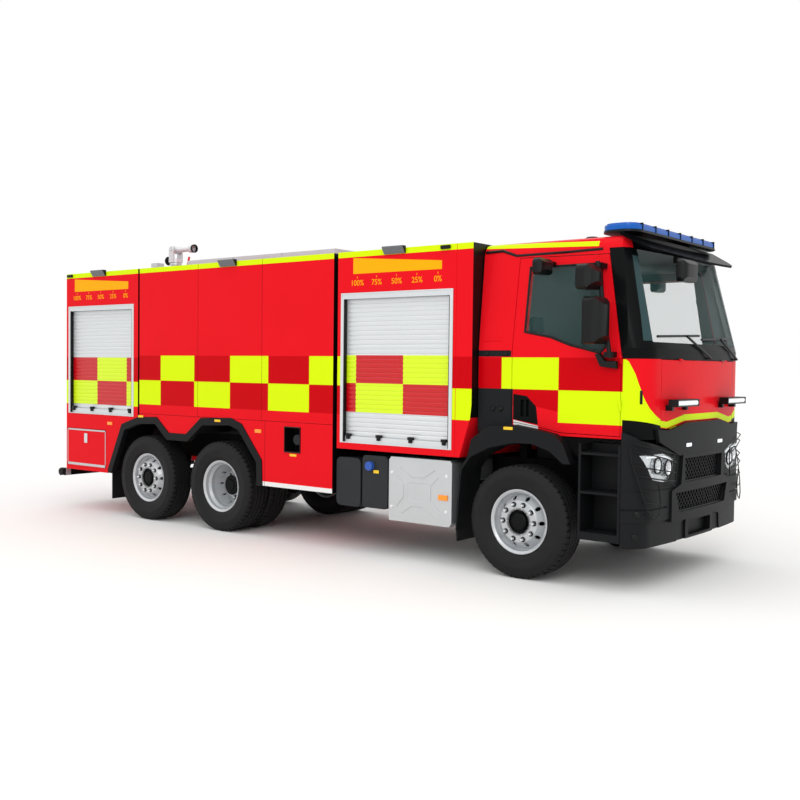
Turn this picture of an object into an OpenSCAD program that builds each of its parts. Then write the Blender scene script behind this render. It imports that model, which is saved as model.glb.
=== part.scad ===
// Fire tanker on a three-axle truck: a forward-control cab, three body modules with roller
// shutters, a steered front axle, a driven twin-tyre axle and a self-steering tag axle.
// Every piece is drawn from the front axle: x runs forward, y to the left, z up, millimetres.

/* [Body] */
// Width over the body modules
body_w = 2500; // [2440:10:2550]
// Height of the body roof above the ground
body_top = 3160; // [3060:10:3260]
// Front axle to the rear face of the body
body_rear = 7150; // [7050:10:7250]
// Gap between the rear module and the tank module
joint_gap_rear = 30; // [10:2:60]
// Gap between the tank module and the front module
joint_gap_front = 60; // [30:2:100]
// Depth of the roller shutters behind the body side
shutter_depth = 46; // [36:1:70]
// Height of one shutter slat
slat_pitch = 47; // [36:1:60]
// Width of the dark trim round the wheel arches
arch_trim_w = 88; // [60:1:110]

/* [Chassis] */
// Front axle to drive axle
wheelbase = 4100; // [4050:10:4150]
// Drive axle to tag axle
bogie = 1350; // [1320:10:1380]
// Height of the frame's top flange
frame_top = 1050; // [1040:1:1060]
// Height of a frame rail
frame_h = 300; // [280:1:310]
// Thickness of a frame rail's plate
rail_t = 8; // [6:1:12]

/* [Wheels] */
// Outside radius of a tyre
tyre_r = 530; // [515:1:540]
// Width of a tyre
tyre_w = 314; // [300:1:318]
// Distance between the outer wheel planes
track = 2170; // [2150:2:2180]
// Spacing of the twin tyres on the drive axle
dual_pitch = 340; // [334:1:350]
// Hand holes in a wheel disc
hand_holes = 10; // [8:1:12]

/* [Cab] */
// Width of the cab at the belt line
cab_w = 2300; // [2260:10:2340]
// Height of the cab roof
cab_top = 3160; // [3100:10:3200]
// Front axle to the cab's front panel
cab_front = 1265; // [1255:1:1275]
// Lean of the windscreen from upright
screen_lean = 15; // [12:0.5:17]
// Narrowing of the cab from belt to roof, each side
tumblehome = 85; // [60:1:110]
// Gap round doors and flaps
shut_gap = 6; // [5:0.5:8]

/* [Monitor] */
// Length of the monitor barrel ahead of its pivot
barrel_len = 400; // [340:5:480]
// Radius of the monitor barrel
barrel_r = 38; // [30:1:46]

/* [Hidden] */
$fn = 64;

front_axle_x = 3000;
hw = body_w / 2;
drive_x = -wheelbase;
tag_x = -wheelbase - bogie;
axle_z = tyre_r;
frame_low = frame_top - frame_h;
rail_out = 425;
rail_flange = 80;
rail_in = rail_out - rail_flange;
frame_front = 980;
frame_rear = 50 - body_rear;
floor_z = frame_top + 40;
wheel_y = track / 2;
dual_y = wheel_y - dual_pitch / 2;
pin_y = wheel_y - 165;
pin_r = 25;
spindle_r = 62;
tube_r = 75;
fit = 0.3;
shaft_z = axle_z + 85;
nose_x = drive_x + 430;

cab_floor = 1350;
belt_z = 2150;
chw = cab_w / 2;
cab_back = -510;
corner_r = 230;
bow_r = 11000;
door_skin = 58;
flap_top = 2050;
flap_half = chw - 290;
hinge_x = cab_front + 6;
hinge_z = flap_top + shut_gap / 2;
door_hinge_x = 982;
door_hinge_y = chw + 14;
hinge_pin_r = 5;
bump_front = 1285;
bump_half = hw - 5;
lamp_front = bump_front - 10;
upper_half = bump_half - 795;
lower_half = bump_half - 625;
block_edge = [[bump_half - 545, 600], [bump_half - 545, 880], [bump_half - 725, 930],
    [bump_half - 755, 1202]];
corner_edge = [[flap_half - 320, 1195], [flap_half - 300, 1240], [flap_half, 1284],
    [bump_half - 105, 1345], [bump_half - 15, 1412], [bump_half + 5, 1414], [bump_half + 5, 1195]];
guard_y = chw + 100;
lip_edge = [[flap_half - 300, 1190], [flap_half + 80, 1330], [flap_half + 110, 1440],
    [flap_half - 110, 1427], [flap_half - 460, 1484]];
step_x0 = 632;
step_x1 = 1036;

rear_x0 = -body_rear;
rear_x1 = drive_x - bogie - 160;
tank_x0 = rear_x1 + joint_gap_rear;
tank_x1 = drive_x + 1800;
front_x0 = tank_x1 + joint_gap_front;
front_x1 = cab_back - 10;
skirt_in = 700;
arch_in = 545;
curtain_y = hw - shutter_depth;
locker_x0 = rear_x0 + 20;
locker_x1 = tag_x - 820;
hatch_x0 = drive_x + 1090;
hatch_x1 = drive_x + 1325;
mon_x = -6400;
mon_z = body_top + 400;
// room for the exhaust box and tanks, from the front guard to the tank module
bay_front = -767;
bay_len = bay_front - tank_x1 - 8;
exhaust_back = bay_front - bay_len * 0.513;
// pressed lines on the exhaust cover, seen from its middle
cover_top = [[-215, 236], [-75, 148], [75, 148], [215, 236]];
cover_end = [[-262, 150], [-172, 70], [-172, -70], [-262, -172]];

// outer edge of the rear wheel arches, seen from the side, from the rear foot to the front foot
arch_path = [[tag_x - 776, 572], [tag_x - 483, 1186], [tag_x - 155, 1289], [tag_x + 221, 1304],
    [tag_x + 453, 1118], [drive_x - 579, 1118], [drive_x - 307, 1325], [drive_x + 216, 1346],
    [drive_x + 402, 1284], [drive_x + 733, 890], [drive_x + 744, 596]];
// outer and inner edges of the front wheel arch
guard_outer = [[-560, 1105], [-520, 1275], [-343, 1408], [-57, 1434], [202, 1399], [373, 1365],
    [472, 1286], [551, 1108]];
guard_inner = [[475, 1103], [340, 1211], [145, 1268], [-54, 1266], [-319, 1207], [-528, 1105]];
// shut line of the right-hand door
door_path = [[-110, 3000], [-137, 2130], [-137, 1452], [-57, 1446], [200, 1410], [385, 1376],
    [985, 1368], [985, 2110], [817, 2990]];
// edge of the door glass
glass_path = [[10, 2905], [-8, 2300], [269, 2251], [476, 2177], [776, 2105], [828, 2160],
    [738, 2905]];
// lower edge of the front flap, half of it
flap_low = [[0, 1492], [flap_half - 460, 1492], [flap_half - 110, 1435], [flap_half, 1447]];

function unit(v) = v / norm(v);
function right_of(a, b) = let (d = unit(b - a)) [d[1], -d[0]];
function mitre(p, i, d) = let (
    n1 = right_of(p[max(i - 1, 0)], p[max(i, 1)]),
    n2 = right_of(p[min(i, len(p) - 2)], p[min(i + 1, len(p) - 1)]))
    p[i] + d * (n1 + n2) / (1 + n1 * n2);
function offset_path(p, d) = [for (i = [0:len(p) - 1]) mitre(p, i, d)];
function reversed(p) = [for (i = [len(p) - 1:-1:0]) p[i]];
function mirrored(p) = [for (q = p) [-q[0], q[1]]];

// block between two corners
module slab(x0, x1, y0, y1, z0, z1) {
    translate([x0, y0, z0])
        cube([x1 - x0, y1 - y0, z1 - z0]);
}

// side profile (x, z) carried across from y0 to y1
module side_prism(y0, y1) {
    translate([0, y1, 0])
        rotate([90, 0, 0])
            linear_extrude(y1 - y0)
                children();
}

// front profile (y, z) carried along from x0 to x1
module front_prism(x0, x1) {
    translate([x0, 0, 0])
        rotate([90, 0, 90])
            linear_extrude(x1 - x0)
                children();
}

// the same on both sides of the truck
module both() {
    children();
    mirror([0, 1, 0])
        children();
}

// cylinder lying across the truck
module cross_rod(x, z, r, y0, y1) {
    translate([x, y0, z])
        rotate([-90, 0, 0])
            cylinder(r = r, h = y1 - y0);
}

// cylinder lying along the truck
module long_rod(x0, x1, y, z, r) {
    translate([x0, y, z])
        rotate([0, 90, 0])
            cylinder(r = r, h = x1 - x0);
}

// half of a bowed plan with rounded front corners, from the middle to the side
function half_nose(front, half, corner, inset) = let (
    turn = asin((half - corner) / (bow_r - corner)),
    cx = front - bow_r + (bow_r - corner) * cos(turn))
    concat(
        [for (i = [0:4]) let (a = turn * i / 4)
            [front - bow_r + (bow_r - inset) * cos(a), (bow_r - inset) * sin(a)]],
        [for (i = [1:6]) let (a = turn + (90 - turn) * i / 6)
            [cx + (corner - inset) * cos(a), half - corner + (corner - inset) * sin(a)]]);

function flipped(p) = [for (q = p) [q[0], -q[1]]];

// bowed plan with rounded front corners, for the cab and the bumper
module nose_plan(front, half, corner, inset, back) {
    h = half_nose(front, half, corner, inset);
    polygon(concat([[back, inset - half]], flipped(reversed([for (i = [1:len(h) - 1]) h[i]])), h,
        [[back, half - inset]]));
}

// rectangle with rounded corners
function round_rect(x0, x1, y0, y1, r) = [for (c = [[x1 - r, y1 - r, 0], [x0 + r, y1 - r, 90],
    [x0 + r, y0 + r, 180], [x1 - r, y0 + r, 270]], i = [0:5])
    [c[0] + r * cos(c[2] + i * 18), c[1] + r * sin(c[2] + i * 18)]];

// the cab's closed outer form, or a copy of it set in by some depth
module cab_form(inset, low, back) {
    translate([0, 0, low])
        linear_extrude(belt_z - low)
            nose_plan(cab_front, chw, corner_r, inset, back);
    intersection() {
        translate([cab_front, 0, belt_z])
            rotate([0, -screen_lean, 0])
                translate([-cab_front, 0, -500])
                    linear_extrude(3200)
                        nose_plan(cab_front, chw, corner_r, inset, back - 900);
        front_prism(back, cab_front + 50)
            cab_section(inset);
    }
}

// cross-section of the upper cab with its leaning sides and rounded roof edges
module cab_section(inset) {
    w = chw - inset;
    t = chw - tumblehome - inset;
    h = cab_top - inset;
    right = [[w, belt_z], [t, h - 125], [t - 14, h - 70], [t - 45, h - 28], [t - 100, h - 8],
        [t - 300, h]];
    polygon(concat(right, mirrored(reversed(right))));
}

// Chassis

module frame_rail() {
    difference() {
        slab(frame_rear, frame_front, rail_in, rail_out, frame_low, frame_top);
        slab(frame_rear - 1, frame_front + 1, rail_in - 1, rail_out - rail_t,
            frame_low + rail_t, frame_top - rail_t);
    }
}

module frame() {
    web = rail_out - rail_t;
    color("#2b2c2e") {
        both() {
            frame_rail();
            // bearer under the body
            slab(frame_rear, -700, rail_in, rail_out, frame_top, floor_z);
            // cab mountings
            slab(760, 840, rail_in, rail_out, frame_top, cab_floor);
            slab(-470, -390, rail_in, rail_out, frame_top, cab_floor);
            // outrigger for the steps
            slab(700, 760, rail_out, bump_half - 305, frame_low + 70, frame_low + 130);
        }
        for (x = [frame_front - 50, -1800, -2900, drive_x + 560, drive_x - bogie / 2, tag_x - 560,
            frame_rear + 40])
            slab(x - 30, x + 50, -web, web, frame_low + 60, frame_top - 60);
    }
}

module powertrain() {
    web = rail_out - rail_t;
    color("#4a4c4e") {
        side_prism(-300, 300)
            polygon([[-350, 700], [-120, 640], [850, 640], [850, 1130], [700, 1280], [-220, 1280],
                [-350, 1150]]);
        slab(-60, 620, -190, 190, 570, 660);
        long_rod(-1000, -340, 0, 790, 205);
        long_rod(-1300, -990, 0, 760, 150);
        long_rod(-1360, -1290, 0, shaft_z, 85);
        slab(-1300, -1100, -70, 70, shaft_z - 20, 700);
        long_rod(nose_x, -1350, 0, shaft_z, 52);
        long_rod(nose_x, nose_x + 40, 0, shaft_z, 84);
        long_rod(845, 880, 0, 960, 90);
        for (x = [-250, 650])
            slab(x, x + 60, -web, web, 880, 930);
        // cooler pack ahead of the frame
        slab(frame_front, frame_front + 60, -400, 400, frame_low + 160, 1325);
    }
}

// one leaf of a spring that rests at height z
module leaf(z, t, half, y) {
    side_prism(y - 40, y + 40)
        intersection() {
            translate([0, z + 2250])
                difference() {
                    circle(r = 2250, $fn = 240);
                    circle(r = 2250 - t, $fn = 240);
                }
            translate([-half, z - 5])
                square([2 * half, 300]);
        }
}

module front_axle() {
    c = axle_z;
    color("#303234") {
        front_prism(-45, 45)
            polygon([[-pin_y + 35, c - 70], [-760, c - 70], [-540, c - 130], [540, c - 130],
                [760, c - 70], [pin_y - 35, c - 70], [pin_y - 35, c + 70], [760, c + 70],
                [540, c - 30], [-540, c - 30], [-760, c + 70], [-pin_y + 35, c + 70]]);
        both() {
            translate([0, pin_y, c - 75])
                cylinder(r = 48, h = 150);
            translate([0, pin_y, c - 132])
                cylinder(r = pin_r, h = 264);
            slab(-70, 70, 350, 440, c - 32, c - 14);
            leaf(c - 16, 24, 790, 395);
            leaf(c + 8, 22, 640, 395);
            for (x = [-790, 790]) {
                cross_rod(x, c + 140, 36, 355, 435);
                slab(x - 34, x + 34, 365, 420, c + 140, frame_low);
            }
        }
    }
}

// air spring and trailing arm between an axle and the frame
module air_spring(x, seat) {
    h = frame_low - seat;
    translate([x, 385, seat])
        cylinder(r = 105, h = h * 0.3);
    translate([x, 385, seat + h * 0.26])
        rotate_extrude()
            polygon([[0, 0], [110, 0], [128, h * 0.2], [116, h * 0.36], [130, h * 0.56],
                [104, h * 0.74], [0, h * 0.74]]);
}

module drive_axle() {
    c = axle_z;
    color("#2f3133") {
        translate([drive_x, 0, c])
            sphere(r = 195);
        long_rod(drive_x + 100, nose_x, 0, shaft_z, 92);
        cross_rod(drive_x, c, tube_r - fit, -dual_y - 36, dual_y + 36);
        both() {
            cross_rod(drive_x, c, 205, dual_y - 215, dual_y - 112);
            for (x = [drive_x - 400, drive_x + 400])
                air_spring(x, c + 20);
            slab(drive_x - 490, drive_x + 490, 330, 430, c - 40, c + 22);
        }
    }
}

module tag_axle() {
    c = axle_z;
    color("#2f3133") {
        slab(tag_x - 60, tag_x + 60, 35 - pin_y, pin_y - 35, c - 70, c + 70);
        both() {
            translate([tag_x, pin_y, c - 75])
                cylinder(r = 48, h = 150);
            translate([tag_x, pin_y, c - 132])
                cylinder(r = pin_r, h = 264);
            air_spring(tag_x - 330, c + 20);
            slab(tag_x - 420, tag_x + 320, 330, 430, c - 40, c + 22);
            slab(tag_x + 240, tag_x + 320, 345, 425, c, frame_low);
        }
    }
}

// steering knuckle on the left of an axle
module knuckle(x) {
    c = axle_z;
    color("#3a3c3e")
        translate([x, 0, 0]) {
            difference() {
                union() {
                    for (z = [c - 130, c + 80]) {
                        translate([0, pin_y, z])
                            cylinder(r = 46, h = 50);
                        slab(-46, 46, pin_y, pin_y + 90, z, z + 50);
                    }
                    slab(-55, 55, pin_y + 55, pin_y + 90, c - 130, c + 130);
                    slab(-215, -40, pin_y + 56, pin_y + 84, c - 62, c - 34);
                }
                translate([0, pin_y, c - 140])
                    cylinder(r = pin_r + fit, h = 280);
            }
            cross_rod(0, c, 212, pin_y + 88, pin_y + 116);
            cross_rod(0, c, spindle_r - fit, pin_y + 90, wheel_y + 38);
        }
}

// half of a rim's tyre side and inside, seen from its middle plane
rim_out = [[262, 40], [280, 70], [287, 111], [304, 117], [304, 126], [296, 126], [277, 112],
    [270, 74]];
rim_in = [[270, -74], [277, -112], [296, -126], [304, -126], [304, -117], [287, -111], [280, -70],
    [262, -40]];

// wheel with its disc set outwards, axis along z, outside up
module single_rim() {
    color("#b9bcbf") {
        difference() {
            rotate_extrude($fn = 96)
                polygon(concat(
                    [[110, 100], [182, 108], [194, 104], [246, 30], [250, 4], [250, -42]],
                    rim_in, rim_out,
                    [[250, 46], [198, 120], [192, 125], [140, 128], [110, 128]]));
            for (i = [0:hand_holes - 1])
                rotate(i * 360 / hand_holes)
                    translate([222, 0, 10])
                        cylinder(r = 20, h = 140, $fn = 32);
        }
        rotate_extrude($fn = 96)
            polygon([[spindle_r, -40], [120, -40], [120, 118], [112, 124], [100, 100], [80, 96],
                [78, 120], [64, 130], [0, 132], [0, 40], [spindle_r, 40]]);
    }
}

// pair of deep-dished wheels on one hub, axis along z, outside up
module twin_rim() {
    d = dual_pitch / 2;
    color("#b9bcbf") {
        for (m = [0, 1])
            mirror([0, 0, m])
                difference() {
                    rotate_extrude($fn = 96)
                        polygon(concat(
                            [[100, 0], [205, 0], [222, 24], [250, d - 48]],
                            [for (q = rim_in) [q[0], q[1] + d]],
                            [for (q = rim_out) [q[0], q[1] + d]],
                            [[250, d + 42], [250, d - 6], [244, d - 26], [212, 30], [200, 12],
                                [100, 12]]));
                    for (i = [0:hand_holes - 1])
                        rotate(i * 360 / hand_holes)
                            translate([227, 0, 20])
                                cylinder(r = 11, h = 140, $fn = 32);
                }
        rotate_extrude()
            polygon([[tube_r, -100], [102, -100], [102, 60], [118, 70], [118, 118], [96, 132],
                [70, 138], [64, 150], [0, 150], [0, 40], [tube_r, 40]]);
    }
}

// tyre with four tread grooves, axis along z
module tyre() {
    r = tyre_r;
    w = tyre_w / 2;
    half = [[r - 13, 32], [r, 33], [r, 78], [r - 13, 80], [r - 13, 90], [r, 92], [r - 2, w - 30],
        [r - 14, w - 14], [r - 38, w - 6], [r - 112, w], [r - 175, w - 6], [r - 212, w - 28],
        [305.5, 118.5], [304.4, 116.4], [287.4, 110.8], [284.2, 92], [302, 86], [352, w - 28],
        [r - 110, w - 20], [r - 42, w - 30], [r - 24, w - 60]];
    color("#1b1c1d")
        rotate_extrude($fn = 96)
            polygon(concat(
                [[r, 3], [r, 22], [r - 13, 24]],
                half,
                [for (q = reversed(half)) [q[0], -q[1]]],
                [[r - 13, -24], [r, -22], [r, -3]]));
}

// set a wheel's outside towards the left or the right
module at_left(x, y) {
    translate([x, y, axle_z])
        rotate([-90, 0, 0])
            children();
}

module at_right(x, y) {
    translate([x, -y, axle_z])
        rotate([90, 0, 0])
            children();
}

module knuckle_fl() {
    knuckle(0);
}

module knuckle_fr() {
    mirror([0, 1, 0])
        knuckle(0);
}

module knuckle_tl() {
    knuckle(tag_x);
}

module knuckle_tr() {
    mirror([0, 1, 0])
        knuckle(tag_x);
}

module rim_fl() {
    at_left(0, wheel_y)
        single_rim();
}

module rim_fr() {
    at_right(0, wheel_y)
        single_rim();
}

module rim_tl() {
    at_left(tag_x, wheel_y)
        single_rim();
}

module rim_tr() {
    at_right(tag_x, wheel_y)
        single_rim();
}

module rim_dl() {
    at_left(drive_x, dual_y)
        twin_rim();
}

module rim_dr() {
    at_right(drive_x, dual_y)
        twin_rim();
}

module tyre_fl() {
    at_left(0, wheel_y)
        tyre();
}

module tyre_fr() {
    at_right(0, wheel_y)
        tyre();
}

module tyre_tl() {
    at_left(tag_x, wheel_y)
        tyre();
}

module tyre_tr() {
    at_right(tag_x, wheel_y)
        tyre();
}

module twin_tyres() {
    for (s = [-1, 1])
        translate([0, 0, s * dual_pitch / 2])
            tyre();
}

module tyres_dl() {
    at_left(drive_x, dual_y)
        twin_tyres();
}

module tyres_dr() {
    at_right(drive_x, dual_y)
        twin_tyres();
}

// Front end

// outline of a headlamp on the left, seen from the front
module lamp_outline(grow) {
    c = [bump_half - 365, 1100];
    edge = [[-260, 68], [-240, -60], [-120, -142], [130, -100], [270, 116], [-80, 122]];
    polygon([for (p = edge) c + p * (1 + grow / 200)]);
}

// outlines of the two grille windows, seen from the front
module upper_window(grow) {
    w = upper_half + grow;
    polygon([[-w, 1158 + grow], [15 - w, 942 - grow], [w - 15, 942 - grow], [w, 1158 + grow]]);
}

module lower_window(grow) {
    w = lower_half + grow;
    polygon([[-w, 856 + grow], [75 - w, 678 - grow], [w - 75, 678 - grow], [w, 856 + grow]]);
}

// slice of the bumper between two heights, from its face to some depth
module bumper_slice(z0, z1, front, deep) {
    translate([0, 0, z0])
        linear_extrude(z1 - z0)
            intersection() {
                difference() {
                    nose_plan(front, bump_half, 260, 0, 800);
                    nose_plan(front, bump_half, 260, deep, 790);
                }
                translate([step_x1, -bump_half - 1])
                    square([500, 2 * bump_half + 2]);
            }
}

module bumper() {
    color("#2a2c2e") {
        difference() {
            union() {
                bumper_slice(405, 632, bump_front - 22, 84);
                bumper_slice(630, 900, bump_front, 120);
                bumper_slice(898, 1202, lamp_front, 95);
                // proud centre block that frames both grilles
                intersection() {
                    bumper_slice(600, 1202, bump_front + 18, 112);
                    front_prism(1000, 1400)
                        polygon(concat(block_edge, mirrored(reversed(block_edge))));
                }
                // upper corners, wrapped round the cab with a gap
                intersection() {
                    union() {
                        bumper_slice(1195, cab_floor - shut_gap, lamp_front, 60);
                        translate([0, 0, cab_floor - 20])
                            linear_extrude(100)
                                difference() {
                                    nose_plan(lamp_front, bump_half, 260, 0, 800);
                                    nose_plan(cab_front + shut_gap, chw + shut_gap, corner_r, 0, 790);
                                }
                    }
                    both()
                        front_prism(step_x1, 1400)
                            polygon(corner_edge);
                }
            }
            front_prism(900, 1400)
                upper_window(0);
            front_prism(900, 1400)
                lower_window(0);
            for (s = [0, 1])
                mirror([0, s, 0])
                    intersection() {
                        bumper_slice(880, 1230, lamp_front, 74);
                        front_prism(900, 1400)
                            lamp_outline(0);
                    }
            // plate recess and the mouth below it
            slab(1200, 1400, -265, 265, 430, 566);
            front_prism(1238, 1400)
                polygon([[330, 405], [520, 405], [500, 560], [330, 590]]);
            front_prism(1238, 1400)
                polygon([[-330, 405], [-520, 405], [-500, 560], [-330, 590]]);
            // groove under each lamp
            both()
                intersection() {
                    bumper_slice(736, 752, bump_front, 12);
                    slab(1000, 1400, 760, 1300, 730, 760);
                }
        }
        // lip over the grille, under the flap
        intersection() {
            translate([0, 0, 1190])
                linear_extrude(320)
                    difference() {
                        nose_plan(cab_front + 36, chw, corner_r, 0, 800);
                        nose_plan(cab_front + 5, chw, corner_r, 0, 790);
                    }
            front_prism(1100, 1400)
                polygon(concat(lip_edge, mirrored(reversed(lip_edge))));
        }
        // cross beam to the frame, with the front towing jaw
        difference() {
            slab(frame_front, bump_front - 90, -520, 520, frame_low - 130, frame_low + 130);
            slab(frame_front + 70, bump_front - 60, -60, 60, frame_low - 140, frame_low - 60);
            translate([frame_front + 130, 0, frame_low - 200])
                cylinder(r = 20, h = 400);
        }
        slab(bump_front - 125, bump_front - 86, -520, 520, frame_low - 130, frame_low - 72);
    }
}

// bars across a window, seen from the front
module bars(half, z0, z1, rows, posts) {
    for (i = [1:rows])
        translate([-half, z0 + (z1 - z0) * i / (rows + 1) - 6])
            square([2 * half, 12]);
    for (i = [1:posts])
        translate([-half + 2 * half * i / (posts + 1) - 4, z0])
            square([8, z1 - z0]);
}

module grille_window(half, z0, z1, rows, posts) {
    difference() {
        children(0);
        children(1);
    }
    intersection() {
        children(0);
        bars(half, z0, z1, rows, posts);
    }
}

module grille() {
    color("#76797c")
        intersection() {
            translate([0, 0, 600])
                linear_extrude(620)
                    difference() {
                        nose_plan(bump_front + 18, bump_half, 260, 40, 800);
                        nose_plan(bump_front + 18, bump_half, 260, 56, 790);
                    }
            front_prism(1000, 1400) {
                grille_window(upper_half, 942, 1158, 5, 7) {
                    upper_window(0);
                    upper_window(-14);
                }
                grille_window(lower_half, 678, 856, 4, 9) {
                    lower_window(0);
                    lower_window(-14);
                }
            }
        }
}

module headlamps() {
    color("#d9dde0")
        both()
            difference() {
                intersection() {
                    translate([0, 0, 900])
                        linear_extrude(400)
                            difference() {
                                nose_plan(lamp_front, bump_half, 260, 16, 800);
                                nose_plan(lamp_front, bump_half, 260, 74, 790);
                            }
                    front_prism(900, 1400)
                        lamp_outline(-3);
                }
                // two reflector bowls
                for (p = [[bump_half - 500, 1090, 1232], [bump_half - 325, 1120, 1210]])
                    translate([p[2], p[0], p[1]])
                        rotate([0, 90, 0])
                            cylinder(r = 70, h = 120);
            }
}

// open step well on the left, with three treads
module step_well() {
    y0 = bump_half - 305;
    difference() {
        slab(step_x0, step_x1, y0, bump_half, 446, 1300);
        slab(step_x0 + 22, step_x1 - 22, y0 + 40, bump_half + 1, 520, 858);
        slab(step_x0 + 22, step_x1 - 22, y0 + 80, bump_half + 1, 882, 1204);
        slab(step_x0 + 22, step_x1 - 22, y0 + 110, bump_half + 1, 1228, 1301);
        // toothed edges of the treads
        for (z = [520, 882, 1228], i = [0:13])
            translate([step_x0 + 40 + i * 25, bump_half - 30, z - 7])
                cube([11, 31, 8]);
    }
}

module cab_steps() {
    color("#26282a")
        both()
            step_well();
}

// front wheel guard on the left: lip, inner sheet, rear sheet and flap
module wheel_guard() {
    y0 = 900;
    side_prism(chw, guard_y)
        polygon(concat(guard_outer, guard_inner));
    side_prism(y0, chw)
        polygon(concat(guard_inner, offset_path(reversed(guard_inner), -10)));
    // the rear half stands clear of the turned tyre
    side_prism(y0, guard_y)
        polygon([[-528, 1105], [-500, 1119], [-500, 1135], [-553, 1135], [-560, 1105], [-640, 985],
            [-668, 680], [-690, 385], [-676, 383], [-654, 678], [-626, 976]]);
    // rubber flap
    side_prism(y0 + 10, guard_y - 10)
        polygon([[-676, 383], [-690, 385], [-683, 276], [-669, 276]]);
    slab(-696, -650, rail_out, y0 + 30, frame_low + 50, frame_low + 90);
}

module mudguards() {
    color("#3b3d40")
        both()
            wheel_guard();
}

module exhaust_box() {
    x1 = bay_front;
    x0 = exhaust_back;
    y1 = hw - 40;
    c = [(x0 + x1) / 2 - 25, 706];
    color("#c6c9cc")
        mirror([0, 1, 0])
            difference() {
                union() {
                    side_prism(480, y1)
                        polygon([[x0, 392], [x0 - 6, 420], [x0 - 6, 1010], [x0 + 20, 1046],
                            [x1 - 20, 1046], [x1, 1020], [x1, 430], [x1 - 30, 392]]);
                    slab(x0 + 120, x0 + 200, rail_out, 500, frame_low + 40, frame_low + 140);
                    slab(x1 - 200, x1 - 120, rail_out, 500, frame_low + 40, frame_low + 140);
                }
                // pressed lines round the middle of the outer cover
                translate([0, y1, 0])
                    rotate([90, 0, 0])
                        linear_extrude(6)
                            for (e = [cover_end, mirrored(cover_end), cover_top, flipped(cover_top)])
                                translate(c)
                                    polygon(concat(e, reversed(offset_path(e, 13))));
                translate([0, y1, 0])
                    rotate([90, 0, 0])
                        linear_extrude(4)
                            translate(c)
                                square([bay_len * 0.175, 182], center = true);
            }
}

// plastic or metal tank hung outside a frame rail, on the left
module tank(x0, x1, z0, z1, y1, r) {
    side_prism(560, y1)
        polygon(round_rect(x0, x1, z0, z1, r));
    for (x = [x0 + (x1 - x0) * 0.2, x0 + (x1 - x0) * 0.7])
        slab(x, x + 50, rail_out, 570, frame_low + 40, frame_low + 150);
}

module side_tanks() {
    x0 = tank_x1 + 34;
    step = (exhaust_back - 17 - x0 - 25) / 2;
    color("#3f4245") {
        mirror([0, 1, 0]) {
            tank(x0, x0 + step, 485, 1000, hw - 30, 60);
            tank(x0 + step + 25, x0 + 2 * step + 25, 492, 1040, hw - 30, 45);
            cross_rod(x0 + step * 1.4, 930, 48, hw - 31, hw + 8);
        }
        tank(x0 + 66, bay_front, 470, 1040, hw - 30, 70);
        cross_rod(x0 + 66 + bay_len * 0.164, 880, 62, hw - 31, hw + 10);
    }
}

// Body

// space under the rear wheel arches
module arch_space() {
    both()
        side_prism(arch_in, hw + 60)
            polygon(concat([[arch_path[0][0], 100]], arch_path,
                [[arch_path[len(arch_path) - 1][0], 100]]));
}

// rectangle with cut-off lower corner for the front module's side view
module front_side() {
    polygon([[front_x0, floor_z], [front_x1 - 137, floor_z], [front_x1 - 14, 1480],
        [front_x1, 1600], [front_x1, body_top], [front_x0, body_top]]);
}

// shutter opening in a side, as [x0, x1, z0, z1]
rear_bay = [rear_x0 + 46, rear_x1 - 88, 1290, 2722];
front_bay = [front_x0 + 46, front_x1 - 230, 1158, 2728];

module bay_cut(b) {
    both()
        slab(b[0], b[1], curtain_y - 14, hw + 60, b[2], b[3]);
}

module rear_module() {
    color("#e3131f")
        difference() {
            union() {
                slab(rear_x0, rear_x1, -hw, hw, floor_z, body_top);
                both()
                    slab(rear_x0, rear_x1, skirt_in, hw, 532, floor_z + 1);
            }
            arch_space();
            bay_cut(rear_bay);
            // lockers behind the drop-down flaps
            both() {
                slab(locker_x0, locker_x1, hw - 30, hw + 1, 584, 1090);
                slab(locker_x0 + 40, locker_x1 - 40, skirt_in + 60, hw, 632, 1064);
            }
            // rear shutter and lamp recesses
            slab(rear_x0 - 1, rear_x0 + shutter_depth + 14, -790, 790, 1180, 2722);
            both()
                slab(rear_x0 - 1, rear_x0 + 30, 940, 1180, 640, 800);
        }
}

module tank_module() {
    color("#e3131f")
        difference() {
            union() {
                slab(tank_x0, tank_x1, -hw, hw, floor_z, body_top);
                both()
                    slab(tank_x0, tank_x1, skirt_in, hw, 600, floor_z + 1);
            }
            arch_space();
            // filling hatch in each side
            both()
                slab(hatch_x0, hatch_x1, hw - 170, hw + 1, 1006, 1281);
        }
    // capped filling coupling in each hatch
    color("#8b8f93")
        both()
            cross_rod((hatch_x0 + hatch_x1) / 2, 1140, 58, hw - 171, hw - 70);
}

module front_module() {
    color("#e3131f")
        difference() {
            side_prism(-hw, hw)
                front_side();
            bay_cut(front_bay);
            // shut line of the corner post
            both()
                slab(front_x1 - 196, front_x1 - 188, hw - 6, hw + 1, floor_z - 1, body_top + 1);
        }
}

// section of a curtain of rounded slats, standing on z0, against depth zero
module slat_section(z0, z1) {
    n = floor((z1 - z0) / slat_pitch);
    p = (z1 - z0) / n;
    polygon(concat([[0, z1], [0, z0]],
        [for (i = [0:n - 1], q = [[7, 0.02], [12, 0.2], [13, 0.5], [12, 0.8], [7, 0.96]])
            [q[0], z0 + (i + q[1]) * p]]));
}

module curtain(b) {
    translate([0, curtain_y - 14, 0]) {
        front_prism(b[0] + 38, b[1] - 38)
            slat_section(b[2] + 70, b[3] - 62);
        slab(b[0] + 40, b[1] - 40, 0, 34, b[2] + 8, b[2] + 70);
    }
}

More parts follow.
